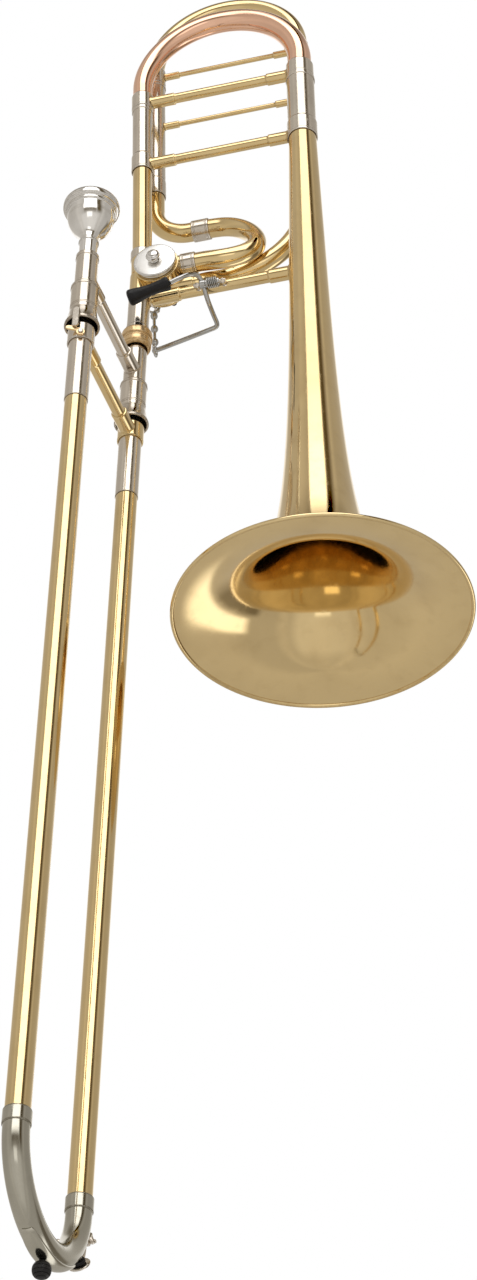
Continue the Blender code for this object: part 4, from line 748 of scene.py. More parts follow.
@dataclass(frozen=True)
class MetalFinish:
    """Polished metal, plated or lacquered."""

    name: str
    slot: Slot
    clean: Colour
    dull: Colour
    bright: Colour
    roughness: float = 0.10
    smudged: float = 0.16
    hairline: float = 0.000012
    smudge_size: float = 1.0
    coat: float = 0.0
    coat_roughness: float = 0.05

    def material(self, effects: SurfaceEffects) -> bpy.types.Material:
        """Build the material.

        Args:
            effects: Shared node groups.

        Returns:
            The finished material.
        """
        made, bench, shader = new_material(self.name)
        marks = bench.add("ShaderNodeGroup", node_tree=effects.handling)
        marks.inputs["Smudge Size"].default_value = self.smudge_size
        edges = bench.add("ShaderNodeGroup", node_tree=effects.edges)
        tarnish_and_shade = bench.reckon("MULTIPLY", bench.spread(marks.outputs["Cloud"], 0.45, 0.75), 0.22)
        tarnish_and_shade = bench.reckon("ADD", tarnish_and_shade, bench.reckon("MULTIPLY", marks.outputs["Smudge"], 0.10))
        # Hollow corners get painted shade, mixed toward the dull colour.
        tarnish_and_shade = bench.reckon("ADD", tarnish_and_shade, bench.reckon("MULTIPLY", edges.outputs["Crevice Shade"], 0.85), True)
        tone = bench.blend(tarnish_and_shade, self.clean, self.dull)
        tone = bench.blend(bench.reckon("MULTIPLY", edges.outputs["Wear"], 0.55), tone, self.bright)
        bench.join(tone, shader.inputs["Base Color"])
        polish = bench.reckon("MULTIPLY", marks.outputs["Smudge"], self.smudged)
        polish = bench.reckon("ADD", polish, bench.reckon("MULTIPLY", edges.outputs["Crevice Shade"], 0.25))
        bench.join(bench.reckon("ADD", polish, self.roughness, True), shader.inputs["Roughness"])
        bench.roughen(shader, marks.outputs["Hairlines"], self.hairline, 0.35)
        shader.inputs["Metallic"].default_value = 1.0
        shader.inputs["Coat Weight"].default_value = self.coat
        shader.inputs["Coat Roughness"].default_value = self.coat_roughness
        made.diffuse_color = (*self.clean, 1.0)
        return made


@dataclass(frozen=True)
class RubberFinish:
    """Moulded rubber or hard plastic with a fine grain."""

    name: str
    slot: Slot
    body: Colour
    rubbed: Colour
    roughness: float = 0.42
    grain_size: float = 1400.0
    grain_depth: float = 0.00004

    def material(self, effects: SurfaceEffects) -> bpy.types.Material:
        """Build the material.

        Args:
            effects: Shared node groups.

        Returns:
            The finished material.
        """
        made, bench, shader = new_material(self.name)
        marks = bench.add("ShaderNodeGroup", node_tree=effects.handling)
        marks.inputs["Smudge Size"].default_value = 2.2
        edges = bench.add("ShaderNodeGroup", node_tree=effects.edges)
        dusty = bench.reckon("MULTIPLY", bench.spread(marks.outputs["Cloud"], 0.4, 0.75), 0.5)
        dusty = bench.reckon("ADD", dusty, bench.reckon("MULTIPLY", edges.outputs["Wear"], 0.6), True)
        bench.join(bench.blend(dusty, self.body, self.rubbed), shader.inputs["Base Color"])
        gloss = bench.spread(marks.outputs["Smudge"], 0.0, 1.0, self.roughness, self.roughness + 0.18)
        bench.join(gloss, shader.inputs["Roughness"])
        shader.inputs["Specular IOR Level"].default_value = 0.30
        place = bench.add("ShaderNodeTexCoord").outputs["Object"]
        bench.roughen(shader, bench.noise(place, self.grain_size, 4.0, 0.65), self.grain_depth, 0.6)
        made.diffuse_color = (*self.body, 1.0)
        return made


@dataclass(frozen=True)
class CorkFinish:
    """Dark cork with pores."""

    name: str
    slot: Slot
    body: Colour
    pore: Colour
    pores_per_metre: float = 1500.0
    pore_depth: float = 0.00015

    def material(self, effects: SurfaceEffects) -> bpy.types.Material:
        """Build the material.

        Args:
            effects: Shared node groups.

        Returns:
            The finished material.
        """
        made, bench, shader = new_material(self.name)
        edges = bench.add("ShaderNodeGroup", node_tree=effects.edges)
        place = bench.add("ShaderNodeTexCoord").outputs["Object"]
        cells = bench.add("ShaderNodeTexVoronoi")
        cells.inputs["Scale"].default_value = self.pores_per_metre
        bench.join(place, cells.inputs["Vector"])
        pores = bench.spread(cells.outputs["Distance"], 0.1, 0.6)
        pores = bench.reckon("MULTIPLY", pores, bench.spread(bench.noise(place, 600.0), 0.3, 0.7))
        # Pores darken the cork, and hollow corners add painted shade.
        shade = bench.reckon("ADD", pores, bench.reckon("MULTIPLY", edges.outputs["Crevice Shade"], 0.4), True)
        bench.join(bench.blend(shade, self.body, self.pore), shader.inputs["Base Color"])
        bench.join(bench.spread(pores, 0.0, 1.0, 0.75, 0.95), shader.inputs["Roughness"])
        bench.roughen(shader, pores, self.pore_depth)
        made.diffuse_color = (*self.body, 1.0)
        return made


Finish = MetalFinish | RubberFinish | CorkFinish

YELLOW = MetalFinish("lacquered_yellow_brass", Slot.YELLOW_BRASS, (0.80, 0.610, 0.310), (0.46, 0.31, 0.12),
                     (0.88, 0.72, 0.42), 0.085, 0.10, coat=0.45)
ROSE = MetalFinish("lacquered_rose_brass", Slot.ROSE_BRASS, (0.97, 0.61, 0.435), (0.64, 0.33, 0.19),
                   (0.97, 0.74, 0.58), 0.085, 0.10, coat=0.45)
NICKEL = MetalFinish("nickel_silver", Slot.NICKEL, (0.72, 0.655, 0.570), (0.38, 0.32, 0.25),
                     (0.82, 0.79, 0.74), 0.15, 0.12)
# Darker copy of nickel silver for the slide bow and its guard. It is painted shade that makes them read
# darker than the other nickel parts.
BOW_NICKEL = MetalFinish("shaded_nickel_silver", Slot.NICKEL, (0.50, 0.48, 0.41), (0.25, 0.225, 0.17),
                         (0.74, 0.71, 0.64), 0.12, 0.14)
SILVER = MetalFinish("silver_plate", Slot.SILVER, (0.90, 0.885, 0.86), (0.46, 0.42, 0.36),
                     (0.95, 0.94, 0.93), 0.07, 0.12, smudge_size=1.6)
CAP = MetalFinish("brushed_silver_cap", Slot.SILVER, (0.86, 0.85, 0.83), (0.55, 0.52, 0.48),
                  (0.95, 0.94, 0.93), 0.29, 0.10, hairline=0.000009, smudge_size=2.4)
CHROME = MetalFinish("chromed_wire", Slot.CHROME, (0.50, 0.50, 0.49), (0.28, 0.27, 0.25),
                     (0.72, 0.72, 0.72), 0.08, 0.10, smudge_size=1.5)
NUT = MetalFinish("satin_nut_brass", Slot.NUT_BRASS, (0.84, 0.61, 0.34), (0.50, 0.33, 0.15),
                  (0.88, 0.70, 0.44), 0.26, 0.12, hairline=0.00003)
RUBBER = RubberFinish("black_rubber", Slot.RUBBER, (0.004, 0.004, 0.005), (0.013, 0.012, 0.012))
CORK = CorkFinish("dark_cork", Slot.CORK, (0.105, 0.066, 0.038), (0.022, 0.013, 0.008))


class Workshop:
    """Turns built meshes into pieces, gives them their finish and hands them to the frame."""

    def __init__(self) -> None:
        """Read which body each CAD node moves with, and build the shared effects."""
        bodies = frame["record"]["behaviour"]["bodies"]
        self.body_of = {node: body for body, nodes in bodies.items() for node in nodes}
        self.effects = SurfaceEffects()
        self.materials: dict[str, bpy.types.Material] = {}
        self.handled: set[str] = set()

    def material(self, finish: Finish) -> bpy.types.Material:
        """Material of a finish, built the first time it is asked for."""
        if finish.name not in self.materials:
            self.materials[finish.name] = finish.material(self.effects)
        return self.materials[finish.name]

    def piece(self, name: str, build: bmesh.types.BMesh, finish: Finish, *nodes: str,
              beside: str = "", sharp: float = 38.0) -> bpy.types.Object:
        """Make one piece.

        Args:
            name: Name of the piece.
            build: Its mesh.
            finish: Its finish.
            nodes: CAD nodes that it stands for.
            beside: CAD node whose body it moves with, when it stands for none.
            sharp: Angle in degrees above which an edge stays sharp.

        Returns:
            The piece.
        """
        bmesh.ops.remove_doubles(build, verts=build.verts, dist=1e-7)
        bmesh.ops.recalc_face_normals(build, faces=build.faces)
        mesh = bpy.data.meshes.new(name)
        build.to_mesh(mesh)
        build.free()
        mesh.shade_smooth()
        mesh.set_sharp_from_angle(angle=math.radians(sharp))
        mesh.materials.append(self.material(finish))
        item = set_out(name, mesh)
        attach(item, self.body_of[nodes[0] if nodes else beside])
        if nodes:
            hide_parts(*nodes)
            self.handled.update(nodes)
        LOG.info("built %s, %d faces, for %s", name, len(mesh.polygons), ", ".join(nodes) or beside)
        return item

    def dress(self, finish: Finish, *nodes: str) -> None:
        """Give CAD nodes whose shape is right their finish.

        Args:
            finish: The finish.
            nodes: Names of the nodes.
        """
        for node in nodes:
            item = frame["nodes"][node]
            item.data.materials.clear()
            item.data.materials.append(self.material(finish))
            self.handled.add(node)
            LOG.info("kept %s from the CAD", node)

    def report(self) -> None:
        """Log every CAD node that nothing has dressed or replaced."""
        for node in sorted(set(frame["nodes"]) - self.handled):
            LOG.warning("left as packed: %s", node)


@dataclass
class Bell:
    """Thin flaring bell with a rolled wire at its mouth."""

    mouth_r: float = 0.1016
    bead_r: float = 0.0015
    flare_start: float = 0.0100
    flare_power: float = 0.565
    tail_r: float = 0.0105
    tail_z: float = 0.3300
    top_z: float = 0.4775
    collar_z: float = 0.4635
    wall: float = 0.0006
    lip_lift: float = 0.0017
    lip: float = 0.0030
    knee_z: float = 0.0100
    bead_z: float = 0.0016

    def radius(self, height: float) -> float:
        """Outside radius at a height above the mouth."""
        share = self.flare_start / (min(height, self.tail_z) + self.flare_start)
        flare = self.mouth_r * share ** self.flare_power
        if height <= self.tail_z:
            return flare
        share = (height - self.tail_z) / (self.collar_z - self.tail_z)
        return flare + (self.tail_r - flare) * min(share, 1.0)

    def sheet(self) -> list[tuple[float, float]]:
        """Outside of the sheet from its lip up to its tail."""
        knee = self.radius(self.knee_z)
        lip = self.mouth_r - self.lip
        points = []
        for index in range(26):
            radius = lip + (knee - lip) * index / 26
            height = self.flare_start * ((self.mouth_r / radius) ** (1.0 / self.flare_power) - 1.0)
            height += self.lip_lift * ((radius - knee) / (lip - knee)) ** 2
            points.append((radius, height))
        for index in range(61):
            height = self.knee_z * (self.tail_z / self.knee_z) ** (index / 60)
            points.append((self.radius(height), height))
        for height in (0.36, 0.39, 0.42, 0.45, self.collar_z, self.top_z):
            points.append((self.radius(height), height))
        return points

    def build(self, shop: Workshop) -> None:
        """Spin the sheet and its rolled rim."""
        outer = self.sheet()
        inner = []
        for index, (radius, height) in enumerate(outer):
            before = outer[max(index - 1, 0)]
            after = outer[min(index + 1, len(outer) - 1)]
            run, climb = after[0] - before[0], after[1] - before[1]
            size = math.hypot(run, climb)
            inner.append((radius - self.wall * climb / size, height + self.wall * run / size))
        bead = []
        centre = self.mouth_r - self.bead_z
        for step in range(15):
            angle = math.radians(-135.0 + 270.0 * step / 14)
            # The bead's outer face wears bright, and the rest of it gets painted shade.
            mark = 0.8 if -60.0 < math.degrees(angle) < 60.0 else -0.5
            bead.append((centre + self.bead_r * math.cos(angle), self.bead_z + self.bead_r * math.sin(angle),
                         mark))
        outline = bead + [(r, z, 0.0) for r, z in outer] + [(r, z, 0.0) for r, z in reversed(inner)]
        build = turned(outline, Matrix.Identity(4), 160)
        shop.piece("flared_bell", build, YELLOW, "bell", "bell_stem", "bell_tail", sharp=50.0)


@dataclass
class TuningSlide:
    """Main tuning slide, the two sleeves it runs in and its two braces."""

    neck_collar_z: float = 0.4605
    bell_collar_z: float = 0.4635
    collar: float = 0.0165
    sleeve_top: float = 0.5295
    ferrule: float = 0.0152
    neck_leg_r: float = 0.0071
    bell_leg_r: float = 0.0101
    neck_ferrule_r: float = 0.0084
    bell_ferrule_r: float = 0.0106
    bow_neck_r: float = 0.0075
    bow_bell_r: float = 0.0092
    bow_z: float = 0.5527
    bell_collar_r: float = 0.0115
    neck_sleeve: tuple[float, float, float] = (0.0077, 0.00718, 0.0076)
    bell_sleeve: tuple[float, float, float] = (0.0107, 0.01018, 0.0108)
    neck_seat_r: float = 0.0078
    bell_seat_r: float = 0.0095
    upper_brace_z: float = 0.4685
    tuning_brace_z: float = 0.5370
    brace_r: float = 0.0039
    brace_socket_r: float = 0.0047
    brace_socket: float = 0.0260
    leg_overlap: float = 0.0230
    wall: float = 0.0006

    def sleeve(self, low: float, collar_r: float, body_r: float, bore_r: float, seat_r: float) -> Outline:
        """Outline of one fixed sleeve.

        Args:
            low: Height of its collar's lower edge.
            collar_r: Radius of the collar.
            body_r: Radius of the tube.
            bore_r: Inside radius of the tube.
            seat_r: Inside radius of the collar.

        Returns:
            The closed outline.
        """
        high = self.sleeve_top
        return softened([
            (collar_r - 0.0003, low), *grooved(collar_r, low + 0.0005, low + self.collar - 0.0012, 0.0016),
            (collar_r - 0.0004, low + self.collar - 0.0003), (body_r, low + self.collar + 0.0002),
            (body_r, high - 0.0032), (body_r + 0.0005, high - 0.0029), (body_r + 0.0005, high),
            (bore_r, high), (bore_r, low + self.collar - 0.0018), (seat_r, low + self.collar - 0.0018),
            (seat_r, low)], 0.0004)

    def leg(self, low: float, leg_r: float, ferrule_r: float, seat_r: float) -> Outline:
        """Outline of one inner leg with the ferrule that holds the bow.

        Args:
            low: Height of its lower end.
            leg_r: Radius of the leg.
            ferrule_r: Radius of the ferrule.
            seat_r: Inside radius of the ferrule.

        Returns:
            The closed outline.
        """
        shoulder = self.sleeve_top + SEAT_GAP
        top = shoulder + self.ferrule
        return softened([
            (leg_r, low), (leg_r, shoulder), (ferrule_r - 0.0003, shoulder),
            *grooved(ferrule_r, shoulder + 0.0005, top - 0.0010, 0.0012), (ferrule_r - 0.0004, top),
            (seat_r, top), (seat_r, shoulder + 0.002),
            (leg_r - self.wall, shoulder + 0.002), (leg_r - self.wall, low)], 0.0004)

    def bow(self) -> bmesh.types.BMesh:
        """Conical bow over the two legs."""
        radius = LAYOUT.neck_to_bell / 2.0
        start = self.sleeve_top + 0.0027
        points = [LAYOUT.neck(0.0, 0.0, start)]
        points += arc(LAYOUT.neck(radius, 0.0, self.bow_z), LEFTWARDS, UP, radius, 0.0, math.pi, 72)
        points.append(Vector((0.0, 0.0, start)))
        last = len(points) - 1
        radii = [self.bow_neck_r + (self.bow_bell_r - self.bow_neck_r) * n / last for n in range(last + 1)]
        return swept(points, radii, [value - self.wall for value in radii], 48)

    def build(self, shop: Workshop) -> None:
        """Build the sleeves, the moving slide and the braces."""
        neck, bell = LAYOUT.upright(0.0, 0.0), Matrix.Identity(4)
        sleeve = self.sleeve(self.neck_collar_z, self.neck_ferrule_r, *self.neck_sleeve)
        shop.piece("sleeve_on_neck", turned(sleeve, neck), NICKEL, "neck_sleeve")
        sleeve = self.sleeve(self.bell_collar_z, self.bell_collar_r, *self.bell_sleeve)
        shop.piece("sleeve_on_bell", turned(sleeve, bell), NICKEL, "bell_sleeve")
        low = self.neck_collar_z + self.leg_overlap
        leg = self.leg(low, self.neck_leg_r, self.neck_ferrule_r, self.neck_seat_r)
        shop.piece("leg_by_neck", turned(leg, neck), NICKEL, "tuning_leg_neck")
        leg = self.leg(low, self.bell_leg_r, self.bell_ferrule_r, self.bell_seat_r)
        shop.piece("leg_by_bell", turned(leg, bell), NICKEL, "tuning_leg_bell")
        shop.piece("rose_bow", self.bow(), ROSE, "tuning_bow")
        for name, node, height, bell_r in (
            ("brace_on_bow", "tuning_brace", self.tuning_brace_z, self.bell_ferrule_r),
            ("brace_on_sleeves", "upper_brace", self.upper_brace_z, self.bell_collar_r),
        ):
            shape = brace_shape(LAYOUT.neck(0.0, 0.0, height), Vector((0.0, 0.0, height)), self.brace_r,
                                self.brace_socket_r, self.brace_socket,
                                (Seat(UP, self.neck_ferrule_r), Seat(UP, bell_r)))
            shop.piece(name, shape, YELLOW, node)


@dataclass
class NeckPipe:
    """Pipe from the valve up to the tuning slide, with its ferrule."""

    radius: float = 0.0073
    wall: float = 0.0006
    low: float = 0.3693
    high: float = 0.4749
    ferrule_r: float = 0.0086
    ferrule_low: float = 0.3648
    ferrule_high: float = 0.3738

    def build(self, shop: Workshop) -> None:
        """Build the pipe and the ferrule where it meets the valve."""
        axis = LAYOUT.upright(0.0, 0.0)
        pipe = plain_pipe(self.radius, self.radius - self.wall, self.low, self.high)
        shop.piece("pipe_to_valve", turned(pipe, axis), YELLOW, "neck_pipe")
        ring = softened([
            (self.ferrule_r - 0.0003, self.ferrule_low), (self.ferrule_r, self.ferrule_low + 0.0006),
            (self.ferrule_r, self.ferrule_high - 0.0010), (self.ferrule_r - 0.0005, self.ferrule_high),
            (self.radius + 0.0002, self.ferrule_high), (self.radius + 0.0002, self.ferrule_low)], 0.0004)
        shop.piece("neck_ferrule", turned(ring, axis), NICKEL, beside="neck_pipe")


@dataclass
class ValveLoop:
    """Tubing of the valve loop, its tuning slide and its two thin braces."""

    radius: float = 0.0073
    wall: float = 0.0006
    ferrule_r: float = 0.0083
    sleeve_r: float = 0.0079
    sleeve_z: float = 0.4550
    sleeve_top: float = 0.5800
    collar: float = 0.0165
    ferrule: float = 0.0170
    bow_z: float = 0.5972
    run_z: float = 0.4105
    bend_r: float = 0.0270
    return_x: float = 0.0540
    sag: float = 5.0
    sag_x: float = 0.0430
    sweep_r: float = 0.0580
    sweep_z: float = 0.3566
    port_z: float = 0.3536
    low_port_y: float = 0.0076
    low_port_z: float = 0.3388
    brace_z: float = 0.5330
    slide_brace_z: float = 0.5900
    brace_r: float = 0.0019
    brace_socket_r: float = 0.0028
    brace_socket: float = 0.0115
    leg_overlap: float = 0.0450
    wrap_x: float = 0.0360
    wrap_run: float = 0.0180
    return_run: float = 0.0137

    def point(self, x: float, z: float) -> Vector:
        """Point in the loop's upright plane."""
        return LAYOUT.neck(x, LAYOUT.loop_back, z)

    def pipe(self, points: Sequence[Vector], steps: int = 44) -> bmesh.types.BMesh:
        """Pipe of the loop's size along some points."""
        return swept(points, [self.radius] * len(points), [self.radius - self.wall] * len(points), steps)

    def build_slide(self, shop: Workshop) -> None:
        """Build the sleeves, legs, bow and braces of the loop's tuning slide."""
        shoulder = self.sleeve_top + SEAT_GAP
        top = shoulder + self.ferrule
        r, ring_r, tube_r = self.radius, self.ferrule_r, self.sleeve_r
        for side, x in (("left", LAYOUT.loop_left_x), ("right", LAYOUT.loop_right_x)):
            axis = LAYOUT.upright(x, LAYOUT.loop_back)
            low, high = self.sleeve_z, self.sleeve_top
            sleeve = softened([
                (ring_r - 0.0003, low), (ring_r, low + 0.0008), (ring_r, low + self.collar - 0.0010),
                (tube_r, low + self.collar), (tube_r, high - 0.0032), (tube_r + 0.0005, high - 0.0029),
                (tube_r + 0.0005, high), (r + 0.0001, high), (r + 0.0001, low + self.collar),
                (r + SEAT_GAP, low)], 0.0004)
            shop.piece(f"loop_sleeve_{side}_tube", turned(sleeve, axis), NICKEL, f"loop_sleeve_{side}")
            end, bore_r = shoulder - self.leg_overlap, r - self.wall
            leg = softened([
                (r, end), (r, shoulder), (ring_r - 0.0003, shoulder), (ring_r, shoulder + 0.0008),
                (ring_r, top - 0.0012), (ring_r - 0.0004, top), (r + SEAT_GAP, top),
                (r + SEAT_GAP, shoulder + 0.002), (bore_r, shoulder + 0.002), (bore_r, end)], 0.0004)
            shop.piece(f"loop_leg_{side}_tube", turned(leg, axis), NICKEL, f"loop_leg_{side}")
        left, right = LAYOUT.loop_left_x, LAYOUT.loop_right_x
        radius = (right - left) / 2.0
        start = shoulder + 0.0024
        points = [self.point(left, start)]
        points += arc(self.point(left + radius, self.bow_z), LEFTWARDS, UP, radius, 0.0, math.pi, 72)
        points.append(self.point(right, start))
        shop.piece("loop_bow_tube", self.pipe(points), YELLOW, "loop_bow")
        for name, node, height, seat_r in (
            ("thin_brace_on_bow", "loop_slide_brace", self.slide_brace_z, self.ferrule_r),
            ("thin_brace_on_sleeves", "loop_brace", self.brace_z, self.sleeve_r),
        ):
            shape = brace_shape(self.point(left, height), self.point(right, height), self.brace_r,
                                self.brace_socket_r, self.brace_socket + seat_r,
                                (Seat(UP, seat_r), Seat(UP, seat_r)), segments=28)
            shop.piece(name, shape, YELLOW, node)

    def sagged(self, point: Vector) -> Vector:
        """Point of the return bow after it droops towards the bell side."""
        reach = max(point.x + LAYOUT.neck_to_bell - self.sag_x, 0.0)
        return point - Vector((0.0, 0.0, self.sag * reach * reach))

    def build_runs(self, shop: Workshop) -> None:
        """Build the fixed pipes between the valve and the sleeves."""
        low, high = LAYOUT.neck(self.return_x, 0.0, self.port_z), self.point(self.return_x, self.run_z)
        lift, middle, radius = (high - low).normalized(), (low + high) / 2.0, (high - low).length / 2.0
        points = [LAYOUT.neck(0.0308, 0.0, self.port_z), LAYOUT.neck(self.wrap_x, 0.0, self.port_z)]
        points += [LAYOUT.neck(self.wrap_x + self.wrap_run * n / 8, 0.0, self.port_z) for n in range(1, 8)]
        points += arc(middle, -lift, RIGHTWARDS, radius, 0.0, math.pi, 44)
        points += [self.point(self.return_x - self.return_run * n / 8, self.run_z) for n in range(1, 9)]
        points = [self.sagged(point) for point in points]
        shop.piece("return_bow_tube", self.pipe(points), YELLOW, "loop_return_bow")
        end = self.sleeve_z + self.collar - 0.0022
        points = [self.point(0.0400, self.run_z)]
        centre = self.point(LAYOUT.loop_left_x + self.bend_r, self.run_z + self.bend_r)
        points += arc(centre, DOWN, LEFTWARDS, self.bend_r, 0.0, math.pi / 2.0, 28)
        points.append(self.point(LAYOUT.loop_left_x, end))
        shop.piece("left_bend_tube", self.pipe(points), YELLOW, "loop_left_bend")
        y, z = self.low_port_y, self.low_port_z
        first = [
            LAYOUT.neck(0.0336, y, z), LAYOUT.neck(0.0385, y, z), LAYOUT.neck(0.0412, y + 0.0004, z + 0.0005),
            LAYOUT.neck(0.0485, y + 0.0044, z + 0.0052), LAYOUT.neck(0.0575, y + 0.0112, z + 0.0120),
            LAYOUT.neck(0.0655, LAYOUT.loop_back - 0.0006, self.sweep_z - 0.0010)]
        centre = self.point(LAYOUT.loop_right_x - self.sweep_r, self.sweep_z + self.sweep_r)
        points = rounded_path(first, 6)
        points += arc(centre, DOWN, RIGHTWARDS, self.sweep_r, 0.20, math.pi / 2.0, 34)
        points.append(self.point(LAYOUT.loop_right_x, end))
        shop.piece("right_sweep_tube", self.pipe(points), YELLOW, "loop_right_sweep")
        for name, node, start, length in (
            ("ferrule_on_run", "loop_run_ferrule", self.point(0.0333, self.run_z), 0.0132),
            ("ferrule_on_port", "loop_port_ferrule", LAYOUT.neck(0.0304, 0.0, self.port_z), 0.0112),
        ):
            ring = softened([
                (self.ferrule_r - 0.0003, 0.0),
                *grooved(self.ferrule_r, 0.0005, length - 0.0005, 0.0011, 0.0020, length - 0.0030,
                         length - 0.0021),
                (self.ferrule_r - 0.0003, length), (self.radius + 0.0002, length),
                (self.radius + 0.0002, 0.0)], 0.0004)
            shop.piece(name, turned(ring, Matrix.Translation(start) @ ALONG_X), NICKEL, node)

    def build(self, shop: Workshop) -> None:
        """Build the whole loop."""
        self.build_slide(shop)
        self.build_runs(shop)


@dataclass
class RotaryValve:
    """Rotary valve: casing with four stubs, plates, thumb-side button and the crank."""

    casing_r: float = 0.0168
    front: float = 0.0106
    back: float = 0.0166
    plate_r: float = 0.0160
    stub_r: float = 0.0081
    shaft_r: float = 0.0030
    crank_r: float = 0.0130
    crank_y: float = 0.0228
    arm_start: float = 0.0035
    pointer: float = 0.0090
    stop_reach: float = 0.0112
    rest: float = math.radians(220.0)
    swing: float = math.radians(80.0)
    margin: float = 0.42
    loop: ValveLoop = field(default_factory=ValveLoop)

    def spot(self, angle: float, radius: float, depth: float) -> Vector:
        """Point at an angle around the rotor's axis."""
        x, z = LAYOUT.valve_x + radius * math.cos(angle), LAYOUT.valve_z + radius * math.sin(angle)
        return LAYOUT.neck(x, depth, z)

    def build_casing(self, shop: Workshop) -> None:
        """Build the casing, its rims and the four stubs."""
        valve = LAYOUT.valve()
        r, front, back = self.casing_r, -self.front, self.back
        build = turned(softened([
            (0.0, front), (r, front), (r, front + 0.0016), (r - 0.0003, front + 0.0019),
            (r - 0.0003, back - 0.0019), (r, back - 0.0016), (r, back), (0.0, back)],
            0.0005, closed=False), valve, 72)
        slide, loop = LAYOUT.slide(), self.loop
        x, z = LAYOUT.valve_x, LAYOUT.valve_z
        stubs = (
            (LAYOUT.neck(0.0, 0.0, z + 0.0012), LAYOUT.neck(0.0, 0.0, z + 0.0205), self.stub_r),
            (slide @ Vector((0.0, 0.0, z - LAYOUT.slide_pivot_z - 0.0014)),
             slide @ Vector((0.0, 0.0, -0.0447)), self.stub_r),
            (LAYOUT.neck(x + 0.0100, 0.0, loop.port_z), LAYOUT.neck(0.0305, 0.0, loop.port_z),
             loop.radius + SEAT_GAP),
            (LAYOUT.neck(x + 0.0080, loop.low_port_y, loop.low_port_z),
             LAYOUT.neck(0.0380, loop.low_port_y, loop.low_port_z), loop.radius + 0.0010),
        )
        for start, stop, radius in stubs:
            matrix, length = between(start, stop)
            turned(rod(radius, 0.0, length, 0.0005), matrix, 48, build)
        shop.piece("casing_and_stubs", build, YELLOW, "valve_casing")

    def build_faces(self, shop: Workshop) -> None:
        """Build the polished front plate, its button and the back plate."""
        valve = LAYOUT.valve()
        face = -self.front - SEAT_GAP
        r = self.plate_r
        plate = softened([
            (0.0, face - 0.0051), (r - 0.0040, face - 0.0050), (r - 0.0012, face - 0.0047),
            (r - 0.0003, face - 0.0043), (r, face - 0.0036), (r - 0.0001, face - 0.0029),
            (r - 0.0008, face - 0.0025), (self.casing_r - 0.0030, face - 0.0022),
            (self.casing_r - 0.0020, face), (0.0, face)], 0.0007, 5, False)
        shop.piece("valve_cap", turned(plate, valve, 96), CAP, "valve_front_plate", sharp=60.0)
        top = face - 0.0053
        button = softened([(radius, top - depth) for radius, depth in (
            (0.0, 0.0067), (0.0018, 0.0066), (0.0036, 0.0060), (0.0049, 0.0049), (0.0054, 0.0036),
            (0.0052, 0.0027), (0.0046, 0.0022), (0.0032, 0.0019), (0.0030, 0.0008), (0.0040, 0.0))],
            0.0008, 5, False) + [(0.0, top, 0.0)]
        shop.piece("valve_knob", turned(button, valve, 56), SILVER, "valve_button", sharp=60.0)
        back = self.back + SEAT_GAP
        hole = self.shaft_r + SHAFT_GAP
        cover = softened([
            (hole, back), (self.casing_r - 0.0004, back), (self.casing_r, back + 0.0006),
            (self.casing_r - 0.0002, back + 0.0014), (self.casing_r - 0.0016, back + 0.0020),
            (0.0074, back + 0.0020), (0.0070, back + 0.0016), (hole, back + 0.0016)], 0.0004)
        shop.piece("valve_back_cover", turned(cover, valve, 72), YELLOW, "valve_back_plate")

    def build_crank(self, shop: Workshop) -> None:
        """Build the crank, its pin and screw, and the two cork stops."""
        valve = LAYOUT.valve()
        plate_back = self.back + 0.0023
        low, top, hole = plate_back + 0.0005, self.crank_y, self.shaft_r - 0.0002
        build = turned(softened([
            (hole, low), (0.0052, low), (0.0052, top + 0.0026), (0.0046, top + 0.0034), (hole, top + 0.0034)],
            0.0006), valve, 40)
        arm_y = low + 0.0022
        opposite = self.rest + math.pi
        for angle, reach, thick in ((self.rest, self.crank_r, 0.0021), (opposite, self.pointer, 0.0019)):
            points = [self.spot(angle, self.arm_start + (reach - self.arm_start) * n / 6, arm_y)
                      for n in range(7)]
            radii = [thick * (1.15 - 0.15 * n / 6) for n in range(7)]
            swept(points, radii, None, 24, build)
        tip = Matrix.Translation(self.spot(opposite, self.pointer, arm_y))
        turned(softened([(0.0, -0.0019), (0.0019, -0.0012), (0.0019, 0.0012), (0.0, 0.0019)], 0.0008,
                        closed=False), tip, 24, build)
        pin = Matrix.Translation(self.spot(self.rest, self.crank_r, low)) @ TO_BACK
        turned(softened([
            (0.0, 0.0), (0.0027, 0.0), (0.0027, 0.0026), (0.0013, 0.0028), (0.0013, 0.0083), (0.0024, 0.0084),
            (0.0024, 0.0094), (0.0016, 0.0098), (0.0, 0.0098)], 0.0003, closed=False), pin, 32, build)
        shop.piece("crank_with_pin", build, NICKEL, "rotor_crank")
        for index, turn in enumerate((opposite + self.margin, opposite - self.swing - self.margin)):
            base = Matrix.Translation(self.spot(turn, self.stop_reach, plate_back + SEAT_GAP)) @ TO_BACK
            shop.piece(f"cork_stop_{index + 1}", turned(rod(0.0020, 0.0, 0.0040), base, 24), CORK,
                       f"stop_cork_{index + 1}")
        screw = turned(softened([
            (0.0, top + 0.0031), (0.0021, top + 0.0031), (0.0024, top + 0.0036), (0.0022, top + 0.0044),
            (0.0012, top + 0.0048), (0.0, top + 0.0049)], 0.0004, closed=False), valve, 28)
        shop.piece("crank_screw", screw, NICKEL, beside="rotor_crank")

    def build(self, shop: Workshop) -> None:
        """Build the valve; the rotor inside it stays as packed."""
        self.build_casing(shop)
        self.build_faces(shop)
        self.build_crank(shop)
        shop.dress(YELLOW, "rotor")


